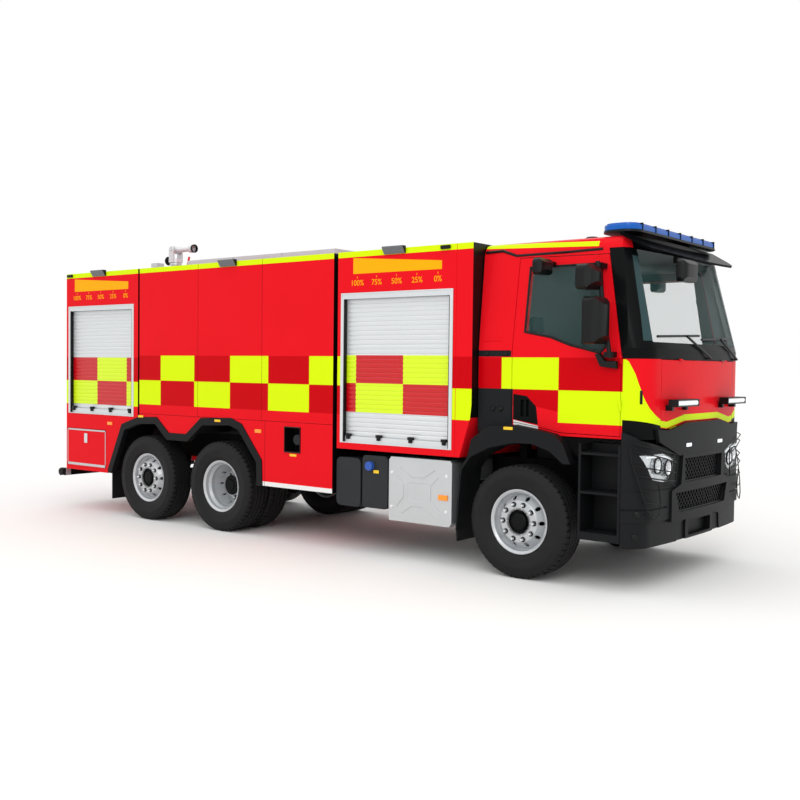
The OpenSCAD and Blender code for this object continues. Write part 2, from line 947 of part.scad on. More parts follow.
module shutter_curtains() {
    color("#dfe3e4") {
        both() {
            curtain(rear_bay);
            curtain(front_bay);
        }
        // curtain over the pump bay at the back
        translate([rear_x0 + shutter_depth + 14, 0, 0])
            rotate(90) {
                front_prism(-750, 750)
                    slat_section(1250, 2660);
                slab(-748, 748, 0, 34, 1190, 1250);
            }
    }
}

// frame with a sprung seal round a shutter opening
module bay_frame(b) {
    difference() {
        slab(b[0], b[1], curtain_y - 14, hw + 3, b[2], b[3]);
        slab(b[0] + 38, b[1] - 38, curtain_y - 20, hw + 10, b[2] - 1, b[3] - 62);
        slab(b[0] + 12, b[1] - 12, hw - 4, hw + 10, b[3] - 50, b[3] - 12);
    }
    slab(b[0] + 36, b[1] - 36, curtain_y - 14, hw + 3, b[2], b[2] + 8);
}

module shutter_frames() {
    color("#b7babd") {
        both() {
            bay_frame(rear_bay);
            bay_frame(front_bay);
        }
        difference() {
            slab(rear_x0 - 3, rear_x0 + shutter_depth + 14, -790, 790, 1180, 2722);
            slab(rear_x0 - 10, rear_x0 + shutter_depth + 20, -750, 750, 1190, 2660);
        }
    }
}

module arch_trims() {
    inner = offset_path(arch_path, arch_trim_w);
    color("#46494c")
        both() {
            side_prism(hw - 60, hw + 12)
                polygon(concat(arch_path, reversed(inner)));
            // mud flap behind the tag wheel
            slab(arch_path[0][0], arch_path[0][0] + 10, 900, hw - 62, 192, 572);
        }
}

module rear_bumper() {
    x0 = -7380;
    color("#1f2123") {
        slab(x0, x0 + 100, -1190, 1190, 420, 520);
        both() {
            slab(x0 + 100, frame_rear, rail_in, rail_out, 430, 510);
            slab(frame_rear - 60, frame_rear, rail_in, rail_out, 430, frame_top - 40);
            // round rubber end
            cross_rod(x0 + 50, 470, 50, 1189, 1225);
        }
        // rear towing jaw
        difference() {
            slab(frame_rear - 150, frame_rear, -110, 110, 560, 700);
            slab(frame_rear - 151, frame_rear - 50, -120, 120, 605, 655);
            translate([frame_rear - 100, 0, 500])
                cylinder(r = 20, h = 300);
        }
        slab(frame_rear - 30, frame_rear, -rail_out, rail_out, 690, frame_top - 120);
    }
}

// sloped scene light on the top edge of the left side
module scene_light(x) {
    translate([x - 135, hw, body_top - 58])
        rotate([90, 0, 90])
            linear_extrude(270)
                polygon([[0, 0], [18, 0], [58, 62], [58, 76], [0, 76]]);
}

module body_lamps() {
    color("#9a9ea2")
        both() {
            for (x = [rear_x0 + 743, drive_x + 166, front_x0 + 770])
                scene_light(x);
            // small outline lamps
            for (x = [rear_x0 + 90, front_x1 - 320])
                slab(x - 55, x + 55, hw, hw + 24, body_top - 48, body_top - 12);
            // side marker lamps
            for (p = [[tag_x - 733, 1184], [drive_x + 670, 1215]])
                slab(p[0] - 50, p[0] + 50, hw, hw + 10, p[1] - 20, p[1] + 20);
            // tail lamps in their recesses
            slab(rear_x0 + 4, rear_x0 + 30, 945, 1175, 645, 795);
        }
}

module roof_deck() {
    z = body_top;
    color("#9ea2a5") {
        // flat lockers along the roof
        both()
            difference() {
                slab(drive_x - 864, drive_x + 1590, 560, 1000, z, z + 86);
                for (x = [drive_x - 46, drive_x + 772])
                    slab(x, x + 8, 550, 1010, z + 60, z + 90);
            }
        // pedestal and riser of the monitor
        translate([mon_x, 0, z])
            cylinder(r = 140, h = 18);
        translate([mon_x, 0, z])
            cylinder(r = 62, h = 200);
        translate([mon_x, 0, z + 190])
            cylinder(r = 84, h = 30);
        translate([mon_x, 0, z + 200])
            cylinder(r = 40, h = 74);
        // valve beside the riser
        long_rod(mon_x - 420, mon_x - 30, 0, z + 100, 44);
        translate([mon_x - 390, 0, z])
            cylinder(r = 52, h = 190);
        slab(mon_x - 470, mon_x - 330, -60, 60, z + 180, z + 236);
        // tread plates over the modules
        slab(rear_x0 + 60, rear_x1 - 40, -520, -180, z, z + 6);
        slab(rear_x0 + 60, rear_x1 - 40, 180, 520, z, z + 6);
        slab(front_x0 + 40, front_x1 - 60, -520, 520, z, z + 6);
    }
}

module monitor_turret() {
    z = body_top + 225;
    color("#b9bdc0")
        translate([mon_x, 0, 0])
            difference() {
                union() {
                    translate([0, 0, z])
                        cylinder(r = 80, h = 56);
                    for (s = [-1, 1]) {
                        slab(-46, 46, s * 74 - 14, s * 74 + 14, z, mon_z);
                        cross_rod(0, mon_z, 46, s * 74 - 14, s * 74 + 14);
                    }
                    // hand wheel of the turning gear
                    long_rod(-150, -60, 0, z + 32, 12);
                    long_rod(-164, -146, 0, z + 32, 62);
                }
                translate([0, 0, z - 1])
                    cylinder(r = 40 + fit, h = 51);
                cross_rod(0, mon_z, 18 + fit, -120, 120);
            }
}

module monitor_barrel() {
    color("#c4c7ca")
        translate([mon_x, 0, mon_z]) {
            cross_rod(0, 0, 18, -96, 96);
            cross_rod(0, 0, 52, -54, 54);
            rotate([0, 90, 0])
                rotate_extrude()
                    polygon([[0, -64], [40, -64], [50, -50], [50, -20], [barrel_r + 6, 30],
                        [barrel_r, 90], [barrel_r - 4, barrel_len - 110], [barrel_r + 16, barrel_len - 90],
                        [barrel_r + 20, barrel_len], [barrel_r + 8, barrel_len], [barrel_r, barrel_len - 60],
                        [0, barrel_len - 60]]);
        }
}

// Cab

// prism through the left wall from a side outline
module side_cut(points, deep) {
    side_prism(deep, chw + 50)
        polygon(points);
}

// outline of the windscreen, seen from the front
module screen_outline() {
    low = chw - 165;
    high = chw - 250;
    polygon([[-low, 2205], [low, 2205], [high, 3030], [-high, 3030]]);
}

// outline of the front flap, seen from the front
module flap_outline(grow) {
    low = [for (p = flap_low) [p[0] + (p[0] > flap_half - 1 ? grow : 0), p[1] - grow]];
    polygon(concat(low, [[flap_half + grow, flap_top + grow], [-flap_half - grow, flap_top + grow]],
        mirrored(reversed(low))));
}

// fixed half of an upright door hinge on the left, and the half on the door
module door_lug(z) {
    difference() {
        union() {
            translate([door_hinge_x, door_hinge_y, z])
                cylinder(r = 10, h = 40, $fn = 32);
            slab(door_hinge_x + 4, door_hinge_x + 13, chw - 12, door_hinge_y + 6, z, z + 40);
        }
        translate([door_hinge_x, door_hinge_y, z - 1])
            cylinder(r = hinge_pin_r + 0.05, h = 42, $fn = 32);
    }
}

module door_knuckle(z) {
    translate([door_hinge_x, door_hinge_y, z])
        cylinder(r = hinge_pin_r, h = 82, $fn = 32);
    translate([door_hinge_x, door_hinge_y, z + 41])
        cylinder(r = 10, h = 41, $fn = 32);
    slab(door_hinge_x - 16, door_hinge_x - 3, chw - 12, door_hinge_y + 6, z + 41, z + 82);
}

// fixed half of a flap hinge on the left, and the half on the flap
module flap_lug(y) {
    difference() {
        union() {
            cross_rod(hinge_x, hinge_z, 10, y, y + 30);
            slab(hinge_x - 24, hinge_x, y, y + 30, flap_top + shut_gap, hinge_z + 10);
        }
        cross_rod(hinge_x, hinge_z, hinge_pin_r + 0.05, y - 1, y + 31);
    }
}

module flap_knuckle(y) {
    cross_rod(hinge_x, hinge_z, hinge_pin_r, y, y + 62);
    cross_rod(hinge_x, hinge_z, 10, y + 31, y + 62);
    slab(hinge_x - 24, hinge_x, y + 31, y + 62, hinge_z - 10, flap_top - 2);
}

module cab_shell() {
    color("#e3131f") {
        both() {
            for (z = [1600, 2010])
                door_lug(z);
            flap_lug(500);
        }
        difference() {
            cab_form(0, cab_floor, cab_back);
            difference() {
                cab_form(60, cab_floor + 50, cab_back + 50);
                slab(cab_front - 90, cab_front, -chw, chw, cab_floor, flap_top + 60);
            }
            both()
                side_cut(door_path, chw - 240);
            front_prism(600, 1400)
                screen_outline();
            // bed for the front flap
            difference() {
                front_prism(1000, 1400)
                    flap_outline(shut_gap);
                translate([0, 0, 1300])
                    linear_extrude(900)
                        nose_plan(cab_front, chw, corner_r, 46, 0);
            }
            // louvres behind each door
            both()
                for (i = [0:5])
                    slab(cab_back + 60, cab_back + 260, chw - 12, chw + 10, 2210 + i * 34,
                        2222 + i * 34);
        }
    }
}

module windscreen() {
    color("#56646a")
        intersection() {
            difference() {
                cab_form(10, belt_z - 100, 0);
                cab_form(17, belt_z - 110, -20);
            }
            front_prism(600, 1400)
                screen_outline();
        }
}

module dashboard() {
    color("#2d2f32") {
        intersection() {
            side_prism(-chw, chw)
                polygon([[760, 1660], [720, 1760], [770, 2030], [960, 2120], [1200, 2130],
                    [1200, 1560], [940, 1560]]);
            cab_form(90, cab_floor + 60, cab_back + 50);
        }
        // steering column and wheel
        translate([560, 520, 2010])
            rotate([0, 32, 0]) {
                rotate_extrude()
                    translate([225, 0])
                        circle(r = 16);
                for (a = [90, 210, 330])
                    rotate(a)
                        translate([0, -16, -8])
                            cube([224, 32, 14]);
                translate([0, 0, -30])
                    cylinder(r = 70, h = 44);
                translate([0, 0, -330])
                    cylinder(r = 38, h = 310);
            }
    }
}

// seat with its base on the cab floor
module seat(y) {
    translate([0, y, 0]) {
        slab(-110, 270, -190, 190, cab_floor + 50, 1640);
        side_prism(-250, 250)
            polygon([[-180, 1640], [330, 1640], [360, 1690], [350, 1750], [300, 1772], [-100, 1752],
                [-170, 1752]]);
        side_prism(-240, 240)
            polygon([[-190, 1640], [-70, 1752], [-150, 2270], [-190, 2300], [-250, 2290],
                [-240, 1700]]);
        side_prism(-130, 130)
            polygon([[-250, 2290], [-170, 2280], [-185, 2470], [-215, 2490], [-260, 2475]]);
    }
}

module seats() {
    color("#2a2b30") {
        seat(560);
        seat(-560);
    }
}

module sun_visor() {
    color("#33363a")
        difference() {
            translate([900, 0, cab_top])
                rotate([0, 31, 0])
                    linear_extrude(22)
                        nose_plan(335, chw - 80, 120, 0, 0);
            cab_form(0, cab_floor, cab_back);
        }
}

// wide mirror that shows the ground ahead, hung from the visor on the right
module front_mirror() {
    y = 540 - chw;
    color("#1d1e20")
        mirror([0, 1, 0]) {
            mirror_head(1205, 1305, -y - 390, -y - 70, 2765, 2965);
            slab(1130, 1225, -y - 260, -y - 200, 2938, 2962);
            difference() {
                slab(1120, 1160, -y - 260, -y - 200, 2938, 3024);
                sun_visor();
            }
        }
}

module lightbar_base() {
    z = cab_top;
    color("#222427") {
        for (s = [-1, 1])
            slab(690, 860, s * 560 - 40, s * 560 + 40, z, z + 26);
        translate([0, 0, z + 26])
            linear_extrude(22)
                bar_plan(0);
        // round aerial foot on the roof
        translate([330, -480, z])
            cylinder(r = 86, h = 34);
        translate([330, -480, z + 34])
            cylinder(r1 = 86, r2 = 52, h = 34);
    }
}

// plan of the light bar with rounded ends
module bar_plan(inset) {
    half = chw - 160 - inset;
    polygon(round_rect(650 + inset, 1020 - inset, -half, half, 150 - inset));
}

module lightbar_lens() {
    color("#2b56c8")
        translate([0, 0, cab_top + 48]) {
            linear_extrude(46)
                bar_plan(6);
            translate([0, 0, 45])
                linear_extrude(18)
                    bar_plan(24);
        }
}

// wiper on its spindle, lying along the foot of the screen
module wiper(y) {
    x = cab_front - y * y / (2 * bow_r);
    translate([x - 12, y, belt_z - 30])
        rotate([0, 90, 0])
            cylinder(r = 22, h = 40);
    translate([x + 16, y, belt_z - 30])
        rotate([78, 0, 0])
            translate([-7, -12, 0])
                cube([14, 24, 460]);
}

module wipers() {
    color("#161718")
        difference() {
            for (y = [-160, flap_half - 460, flap_half])
                wiper(y);
            cab_form(0, cab_floor, cab_back);
        }
}

module front_flap() {
    color("#e3131f") {
        both()
            flap_knuckle(500);
        intersection() {
            translate([0, 0, 1300])
                linear_extrude(900)
                    difference() {
                        nose_plan(cab_front, chw, corner_r, 0, 900);
                        nose_plan(cab_front, chw, corner_r, 36, 890);
                    }
            front_prism(1000, 1400)
                flap_outline(0);
        }
    }
}

// two long lamps on the front flap
module work_lamps() {
    color("#1c1d1f")
        both()
            difference() {
                union() {
                    slab(1290, 1380, flap_half - 500, flap_half - 20, 1636, 1702);
                    for (y = [flap_half - 440, flap_half - 120])
                        slab(cab_front - 50, 1300, y, y + 40, 1600, 1650);
                }
                translate([0, 0, 1300])
                    linear_extrude(900)
                        nose_plan(cab_front, chw, corner_r, 0, 900);
                slab(1372, 1390, flap_half - 486, flap_half - 34, 1648, 1690);
            }
}

// hollow-framed door on the left
module door() {
    gap = shut_gap;
    inner = offset_path(concat([door_path[len(door_path) - 1]], door_path, [door_path[0]]), -gap);
    shrunk = [for (i = [1:len(inner) - 2]) inner[i]];
    difference() {
        intersection() {
            difference() {
                cab_form(0, cab_floor, cab_back);
                cab_form(door_skin, cab_floor - 10, cab_back - 20);
            }
            side_prism(chw - 260, chw + 50)
                polygon(shrunk);
        }
        side_prism(chw - 300, chw + 60)
            polygon(glass_path);
        // pocket for the handle
        slab(-34, 56, chw - 26, chw + 10, 1512, 1668);
    }
    slab(0, 24, chw - 30, chw - 4, 1506, 1674);
    for (z = [1600, 2010])
        door_knuckle(z);
}

module door_left() {
    color("#e3131f")
        door();
}

module door_right() {
    color("#e3131f")
        mirror([0, 1, 0])
            door();
}

module door_glass() {
    intersection() {
        difference() {
            cab_form(18, cab_floor, cab_back);
            cab_form(24, cab_floor - 10, cab_back - 20);
        }
        side_prism(chw - 260, chw + 50)
            polygon(glass_path);
    }
}

module door_glass_left() {
    color("#465258")
        door_glass();
}

module door_glass_right() {
    color("#465258")
        mirror([0, 1, 0])
            door_glass();
}

// rounded mirror head on the left, between two corners, bulging forwards
module mirror_head(x0, x1, y0, y1, z0, z1) {
    d = x1 - x0;
    intersection() {
        front_prism(x0, x1)
            polygon(round_rect(y0, y1, z0, z1, 45));
        translate([0, 0, z0])
            linear_extrude(z1 - z0)
                polygon([[x0, y0], [x0 + d * 0.5, y0], [x0 + d * 0.85, y0 + d * 0.2],
                    [x1, y0 + d * 0.55], [x1, y1 - d * 0.55], [x0 + d * 0.85, y1 - d * 0.2],
                    [x0 + d * 0.5, y1], [x0, y1]]);
        side_prism(y0, y1)
            polygon([[x0, z0], [x0 + d * 0.6, z0], [x1, z0 + d * 0.4], [x1, z1 - d * 0.4],
                [x0 + d * 0.6, z1], [x0, z1]]);
    }
}

module mirrors() {
    difference() {
        union() {
            mirror_head(770, 940, chw + 70, chw + 340, 2180, 2585);
            mirror_head(690, 850, chw + 60, chw + 320, 2655, 2870);
            // leaning arm and its two brackets
            translate([905, chw + 66, 2060])
                rotate([0, -9, 0])
                    cylinder(r = 20, h = 860);
            slab(850, 940, chw - 10, chw + 80, 2066, 2114);
            slab(735, 800, chw - 110, chw + 70, 2850, 2898);
            slab(790, 850, chw + 50, chw + 120, 2345, 2400);
            slab(760, 810, chw + 50, chw + 120, 2740, 2790);
            // kerb mirror over the door
            mirror_head(200, 300, chw - 20, chw + 220, 2812, 2960);
            slab(220, 280, chw - 140, chw + 20, 2890, 2940);
        }
        cab_form(0, cab_floor, cab_back);
    }
}

module mirrors_left() {
    color("#1d1e20")
        mirrors();
}

module mirrors_right() {
    color("#1d1e20")
        mirror([0, 1, 0])
            mirrors();
}

// drop-down flap of a rear locker, on the left
module locker_flap() {
    slab(locker_x0 + shut_gap, locker_x1 - shut_gap, hw - 30, hw, 584 + shut_gap, 1090 - shut_gap);
    long_rod(locker_x0 + 40, locker_x1 - 40, hw, 584 + shut_gap, 5);
}

module locker_flap_left() {
    color("#e3131f")
        locker_flap();
}

module locker_flap_right() {
    color("#e3131f")
        mirror([0, 1, 0])
            locker_flap();
}

// the truck's frame has its origin on the ground, midway along its length
module placed() {
    translate([front_axle_x, 0, 0])
        children();
}

placed() frame();
placed() powertrain();
placed() front_axle();
placed() drive_axle();
placed() tag_axle();
placed() knuckle_fl();
placed() knuckle_fr();
placed() knuckle_tl();
placed() knuckle_tr();
placed() rim_fl();
placed() rim_fr();
placed() rim_tl();
placed() rim_tr();
placed() rim_dl();
placed() rim_dr();
placed() tyre_fl();
placed() tyre_fr();
placed() tyre_tl();
placed() tyre_tr();
placed() tyres_dl();
placed() tyres_dr();
placed() bumper();
placed() grille();
placed() headlamps();
placed() cab_steps();
placed() mudguards();
placed() exhaust_box();
placed() side_tanks();
placed() rear_module();
placed() tank_module();
placed() front_module();
placed() shutter_curtains();
placed() shutter_frames();
placed() arch_trims();
placed() rear_bumper();
placed() body_lamps();
placed() roof_deck();
placed() cab_shell();
placed() windscreen();
placed() dashboard();
placed() seats();
placed() sun_visor();
placed() front_mirror();
placed() lightbar_base();
placed() lightbar_lens();
placed() wipers();
placed() front_flap();
placed() work_lamps();
placed() door_left();
placed() door_right();
placed() door_glass_left();
placed() door_glass_right();
placed() mirrors_left();
placed() mirrors_right();
placed() locker_flap_left();
placed() locker_flap_right();
placed() monitor_turret();
placed() monitor_barrel();
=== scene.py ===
"""Finish and fittings of a fire tanker on a three-axle truck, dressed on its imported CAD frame.

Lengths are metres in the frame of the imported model: +X ahead, +Y to the driver's left, +Z up.
Stations along the truck are measured from the front axle, as on a body builder's drawing.
"""

import logging
import math
from dataclasses import dataclass, replace
from enum import Enum
from typing import Callable, NamedTuple, Sequence

import bmesh
import bpy
from mathutils import Matrix, Vector


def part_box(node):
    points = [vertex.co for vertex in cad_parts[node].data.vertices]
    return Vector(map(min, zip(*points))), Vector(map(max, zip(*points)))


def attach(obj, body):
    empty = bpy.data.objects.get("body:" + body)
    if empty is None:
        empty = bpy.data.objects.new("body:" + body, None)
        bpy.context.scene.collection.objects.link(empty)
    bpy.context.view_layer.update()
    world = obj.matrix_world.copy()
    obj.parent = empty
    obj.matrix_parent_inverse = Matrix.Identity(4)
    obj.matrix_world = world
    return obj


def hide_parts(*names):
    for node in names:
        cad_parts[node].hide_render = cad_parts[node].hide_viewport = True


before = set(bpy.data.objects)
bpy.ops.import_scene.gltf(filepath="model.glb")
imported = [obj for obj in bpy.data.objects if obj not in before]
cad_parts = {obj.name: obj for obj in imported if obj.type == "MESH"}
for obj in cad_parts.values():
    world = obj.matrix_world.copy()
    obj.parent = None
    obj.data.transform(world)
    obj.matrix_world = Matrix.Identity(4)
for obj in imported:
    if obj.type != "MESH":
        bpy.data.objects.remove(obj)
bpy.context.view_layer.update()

log = logging.getLogger("tanker")
MM = 0.001
# the front axle in the model's frame, the stations of the other two, and the radius of a tyre
AXLE_X = (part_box("tyre_fl")[0].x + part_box("tyre_fl")[1].x) / 2
DRIVE_X = -4.1
TAG_X = -5.45
TYRE_R = 0.530
# half widths of the body and of the plain faces of the tanks under it
BODY_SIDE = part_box("tank_module")[1].y
TANK_SIDE = 1.2215
# half width of the cab, height of its belt line and radius of the bow of its nose
CAB_SIDE = 1.15
BELT_Z = 2.15
BOW_R = 11.0
SIDES = {"left": 1, "right": -1}

# a place in space, and one on a flat drawing
Point = tuple[float, float, float] | Vector
Flat = tuple[float, float]


def linear(code: str) -> tuple[float, float, float, float]:
    """Turn an sRGB hex colour into linear light.

    Args:
        code: the colour as "#RRGGBB".

    Returns:
        Red, green, blue and alpha.
    """
    parts = [int(code[i:i + 2], 16) / 255 for i in (1, 3, 5)]
    return (*(c / 12.92 if c <= 0.04045 else ((c + 0.055) / 1.055) ** 2.4 for c in parts), 1.0)


def add(tree: bpy.types.NodeTree, kind: str, inputs: dict | None = None,
        **settings: object) -> bpy.types.Node:
    """Add one node to a tree with its settings, its input values and its links.

    Args:
        tree: the shader or geometry tree.
        kind: the node's type.
        inputs: socket name or number to a value, an output socket or a Field.
        settings: the node's own properties.

    Returns:
        The new node.
    """
    node = tree.nodes.new(kind)
    for key, value in settings.items():
        setattr(node, key, value)
    for key, value in (inputs or {}).items():
        value = value.socket if isinstance(value, Field) else value
        if isinstance(value, bpy.types.NodeSocket):
            tree.links.new(value, node.inputs[key])
        else:
            node.inputs[key].default_value = value
    return node


class Field:
    """A number that varies over a surface, with the arithmetic that painted marks need."""

    def __init__(self, tree: bpy.types.NodeTree, socket: bpy.types.NodeSocket) -> None:
        """Hold the tree and the socket that gives the number."""
        self.tree = tree
        self.socket = socket

    def do(self, operation: str, *others: "Field | float") -> "Field":
        """Return the result of one Math node on this field and others."""
        inputs = dict(enumerate((self, *others)))
        return Field(self.tree, add(self.tree, "ShaderNodeMath", inputs, operation=operation).outputs[0])

    def __add__(self, other: "Field | float") -> "Field":
        """Return the sum."""
        return self.do("ADD", other)

    def __sub__(self, other: "Field | float") -> "Field":
        """Return the difference."""
        return self.do("SUBTRACT", other)

    def __mul__(self, other: "Field | float") -> "Field":
        """Return the product, which is also the overlap of two masks."""
        return self.do("MULTIPLY", other)

    def above(self, other: "Field | float") -> "Field":
        """Return 1 where the field is greater than the other."""
        return self.do("GREATER_THAN", other)

    def below(self, other: "Field | float") -> "Field":
        """Return 1 where the field is less than the other."""
        return self.do("LESS_THAN", other)

    def between(self, low: "Field | float", high: "Field | float") -> "Field":
        """Return 1 where the field lies between two limits."""
        return self.above(low) * self.below(high)

    def near(self, value: float, reach: float) -> "Field":
        """Return 1 where the field is within reach of a value."""
        return (self - value).do("ABSOLUTE").below(reach)

    def either(self, other: "Field") -> "Field":
        """Return the union of two masks."""
        return self.do("MAXIMUM", other)

    def outside(self) -> "Field":
        """Return the inverse of a mask."""
        return (self * -1.0) + 1.0

    def ramp(self, low: float, high: float) -> "Field":
        """Return how far the field has passed low, up to high."""
        return self.do("MAXIMUM", low).do("MINIMUM", high) - low


class Place:
    """Where a shaded point lies on the truck, as fields."""

    def __init__(self, tree: bpy.types.NodeTree) -> None:
        """Split the Object coordinates into station, distance from the middle and height.

        Args:
            tree: the shader tree that asks.
        """
        spot = add(tree, "ShaderNodeTexCoord").outputs["Object"]
        axes = add(tree, "ShaderNodeSeparateXYZ", {0: spot}).outputs
        self.x = Field(tree, axes[0]) - AXLE_X
        self.side = Field(tree, axes[1]).do("ABSOLUTE")
        self.z = Field(tree, axes[2])

    def inside(self, corners: Sequence[Flat]) -> Field:
        """Mask a convex panel of the side.

        Args:
            corners: station and height of each corner, clockwise as seen from the right.

        Returns:
            A field that is 1 inside the panel.
        """
        mask = None
        for (ax, az), (bx, bz) in zip(corners, [*corners[1:], corners[0]]):
            turn = (self.z - az) * (bx - ax) - (self.x - ax) * (bz - az)
            half = turn.below(0.0)
            mask = half if mask is None else mask * half
        return mask


class Shade(str, Enum):
    """Colours of the livery."""

    SIGNAL_RED = "#E0121E"
    DARK_RED = "#C2000C"
    LIME = "#D3EE0C"
    BLACK = "#0B0C0D"
    GREY = "#1E2022"
    WHITE = "#E6E7E6"
    SEAM = "#5E0409"
    AMBER = "#F08A10"
    # teal grey painted on the pillar beside the screen: a painted reflection standing for the glass
    SCREEN_EDGE = "#33484A"


# roughness of the marked areas: reflecting foil, black lacquer, moulded plastic, grey garnish, lens
FOIL = 0.4
LACQUER = 0.3
MOULDED = 0.5
GARNISH = 0.55
LENS = 0.2


class Region(NamedTuple):
    """A painted or foiled area of a surface."""

    mask: Field
    shade: Shade
    roughness: float = 0.32


# share by which the grain varies a finish's gloss, and roughness of a clear coat
GLOSS_DRIFT = 0.15
COAT_ROUGHNESS = 0.06


@dataclass(frozen=True)
class Finish:
    """A surface as it was made: colour, gloss, drift of the colour and grain.

    The drift and the grain have real sizes in millimetres. marks adds the areas of a livery.
    """

    name: str
    colour: str
    roughness: float = 0.45
    metallic: float = 0.0
    ior: float = 1.5
    coat: float = 0.0
    alpha: float = 1.0
    glow: float = 0.0
    drift: float = 0.05
    drift_mm: float = 500.0
    grain_mm: float = 4.0
    grain_depth_mm: float = 0.03
    stretch: tuple[float, float, float] = (1.0, 1.0, 1.0)
    marks: Callable[[Place], Sequence[Region]] | None = None

    def material(self) -> bpy.types.Material:
        """Build the finish the first time that it is asked for.

        Returns:
            Its material.
        """
        made = bpy.data.materials.get(self.name)
        if made:
            return made
        made = bpy.data.materials.new(self.name)
        made.use_nodes = True
        tree = made.node_tree
        tree.nodes.clear()
        spot = add(tree, "ShaderNodeTexCoord").outputs["Object"]
        cloud = add(tree, "ShaderNodeTexNoise",
                    {"Vector": spot, "Scale": 1 / (self.drift_mm * MM), "Detail": 3.0}).outputs[0]
        drawn = add(tree, "ShaderNodeMapping", {"Vector": spot, "Scale": self.stretch}).outputs[0]
        grain = add(tree, "ShaderNodeTexNoise",
                    {"Vector": drawn, "Scale": 1 / (self.grain_mm * MM), "Detail": 2.0}).outputs[0]
        base = linear(self.colour)
        shades = [tuple(min(1.0, c * (1 + s * self.drift)) for c in base[:3]) + (1.0,) for s in (-1, 1)]
        colour = add(tree, "ShaderNodeMix", {0: cloud, 6: shades[0], 7: shades[1]},
                     data_type="RGBA").outputs[2]
        gloss = add(tree, "ShaderNodeMapRange", {
            "Value": grain, "To Min": self.roughness * (1 - GLOSS_DRIFT),
            "To Max": min(1.0, self.roughness * (1 + GLOSS_DRIFT))}).outputs[0]
        metal: bpy.types.NodeSocket | float = self.metallic
        for region in self.marks(Place(tree)) if self.marks else ():
            colour = add(tree, "ShaderNodeMix", {0: region.mask, 6: colour, 7: linear(region.shade.value)},
                         data_type="RGBA").outputs[2]
            gloss = add(tree, "ShaderNodeMix", {0: region.mask, 2: gloss, 3: region.roughness}).outputs[0]
            if self.metallic:
                metal = add(tree, "ShaderNodeMix", {0: region.mask, 2: metal, 3: 0.0}).outputs[0]
        relief = add(tree, "ShaderNodeBump", {"Height": grain, "Distance": self.grain_depth_mm * MM})
        shader = add(tree, "ShaderNodeBsdfPrincipled", {
            "Base Color": colour, "Roughness": gloss, "Metallic": metal, "IOR": self.ior,
            "Alpha": self.alpha, "Coat Weight": self.coat, "Coat Roughness": COAT_ROUGHNESS,
            "Emission Color": base, "Emission Strength": self.glow, "Normal": relief.outputs[0]})
        add(tree, "ShaderNodeOutputMaterial", {0: shader.outputs[0]})
        return made


# distance from the middle beyond which the body's panels and its curtains carry marks
BODY_SKIN = BODY_SIDE - 0.005
SLAT_SKIN = BODY_SIDE - 0.07
# first edge and length of the squares, and top, middle and foot of their rows
TANK_SQUARES = (-5.161, 0.628)
TANK_ROWS = (2.067, 1.759, 1.455)
CURTAIN_ROWS = (2.079, 1.787, 1.482)
REAR_SQUARES = (-6.526, 0.623)
REAR_ROWS = (2.041, 1.733, 1.420)
# foot of the top stripe, height of the level seam and half the width of a seam
TOP_STRIPE_Z = 3.10
SEAM_Z = 1.336
SEAM_HALF = 0.0025


def checker(place: Place, squares: Flat, rows: tuple[float, float, float], depth: float) -> list[Region]:
    """Lay two rows of lime and dark red squares along the side.

    Args:
        place: the shaded point.
        squares: station of one edge between squares, and the length of a square.
        rows: top, middle and foot of the two rows.
        depth: distance from the middle beyond which the side is marked.

    Returns:
        The dark red squares and the lime ones.
    """
    start, pitch = squares
    top, middle, foot = rows
    odd = ((place.x - start) * (1 / pitch)).do("FLOOR").do("FLOORED_MODULO", 2.0).above(0.5)
    face = place.side.above(depth)
    upper = place.z.between(middle, top) * face
    lower = place.z.between(foot, middle) * face
    return [Region(upper * odd + lower * odd.outside(), Shade.DARK_RED),
            Region(upper * odd.outside() + lower * odd, Shade.LIME, FOIL)]


def tank_marks(place: Place) -> list[Region]:
    """Mark the tank and front modules: squares, top stripe, skirt stripe and panel seams.

    Args:
        place: the shaded point.

    Returns:
        The areas, the later ones on top.
    """
    side = place.side.above(BODY_SKIN)
    upright = place.x.near(-3.382, SEAM_HALF).either(place.x.near(-4.469, SEAM_HALF)) * place.z.above(SEAM_Z)
    short = place.x.near(-3.322, SEAM_HALF) * place.z.below(SEAM_Z)
    level = place.z.near(SEAM_Z, SEAM_HALF)
    seams = upright.either(level).either(short) * place.x.below(-2.3) * side
    return [*checker(place, TANK_SQUARES, TANK_ROWS, BODY_SKIN),
            Region(place.z.above(TOP_STRIPE_Z) * side, Shade.LIME, FOIL),
            Region(place.z.below(0.65) * side * place.x.above(-3.5), Shade.WHITE, FOIL),
            Region(seams, Shade.SEAM, 0.6)]


def rear_marks(place: Place) -> list[Region]:
    """Return the marks of the rear module: squares and top stripe."""
    return [*checker(place, REAR_SQUARES, REAR_ROWS, BODY_SKIN),
            Region(place.z.above(TOP_STRIPE_Z) * place.side.above(BODY_SKIN), Shade.LIME, FOIL)]


def slat_marks(place: Place) -> list[Region]:
    """Mark both curtains of a side with the squares that run on from the panels beside them.

    Args:
        place: the shaded point.

    Returns:
        The squares of the front curtain and of the rear one.
    """
    between_bays = -4.0
    ahead = place.x.above(between_bays)
    front = checker(place, TANK_SQUARES, CURTAIN_ROWS, SLAT_SKIN)
    rear = checker(place, REAR_SQUARES, REAR_ROWS, SLAT_SKIN)
    return [*(Region(r.mask * ahead, r.shade, r.roughness) for r in front),
            *(Region(r.mask * ahead.outside(), r.shade, r.roughness) for r in rear)]


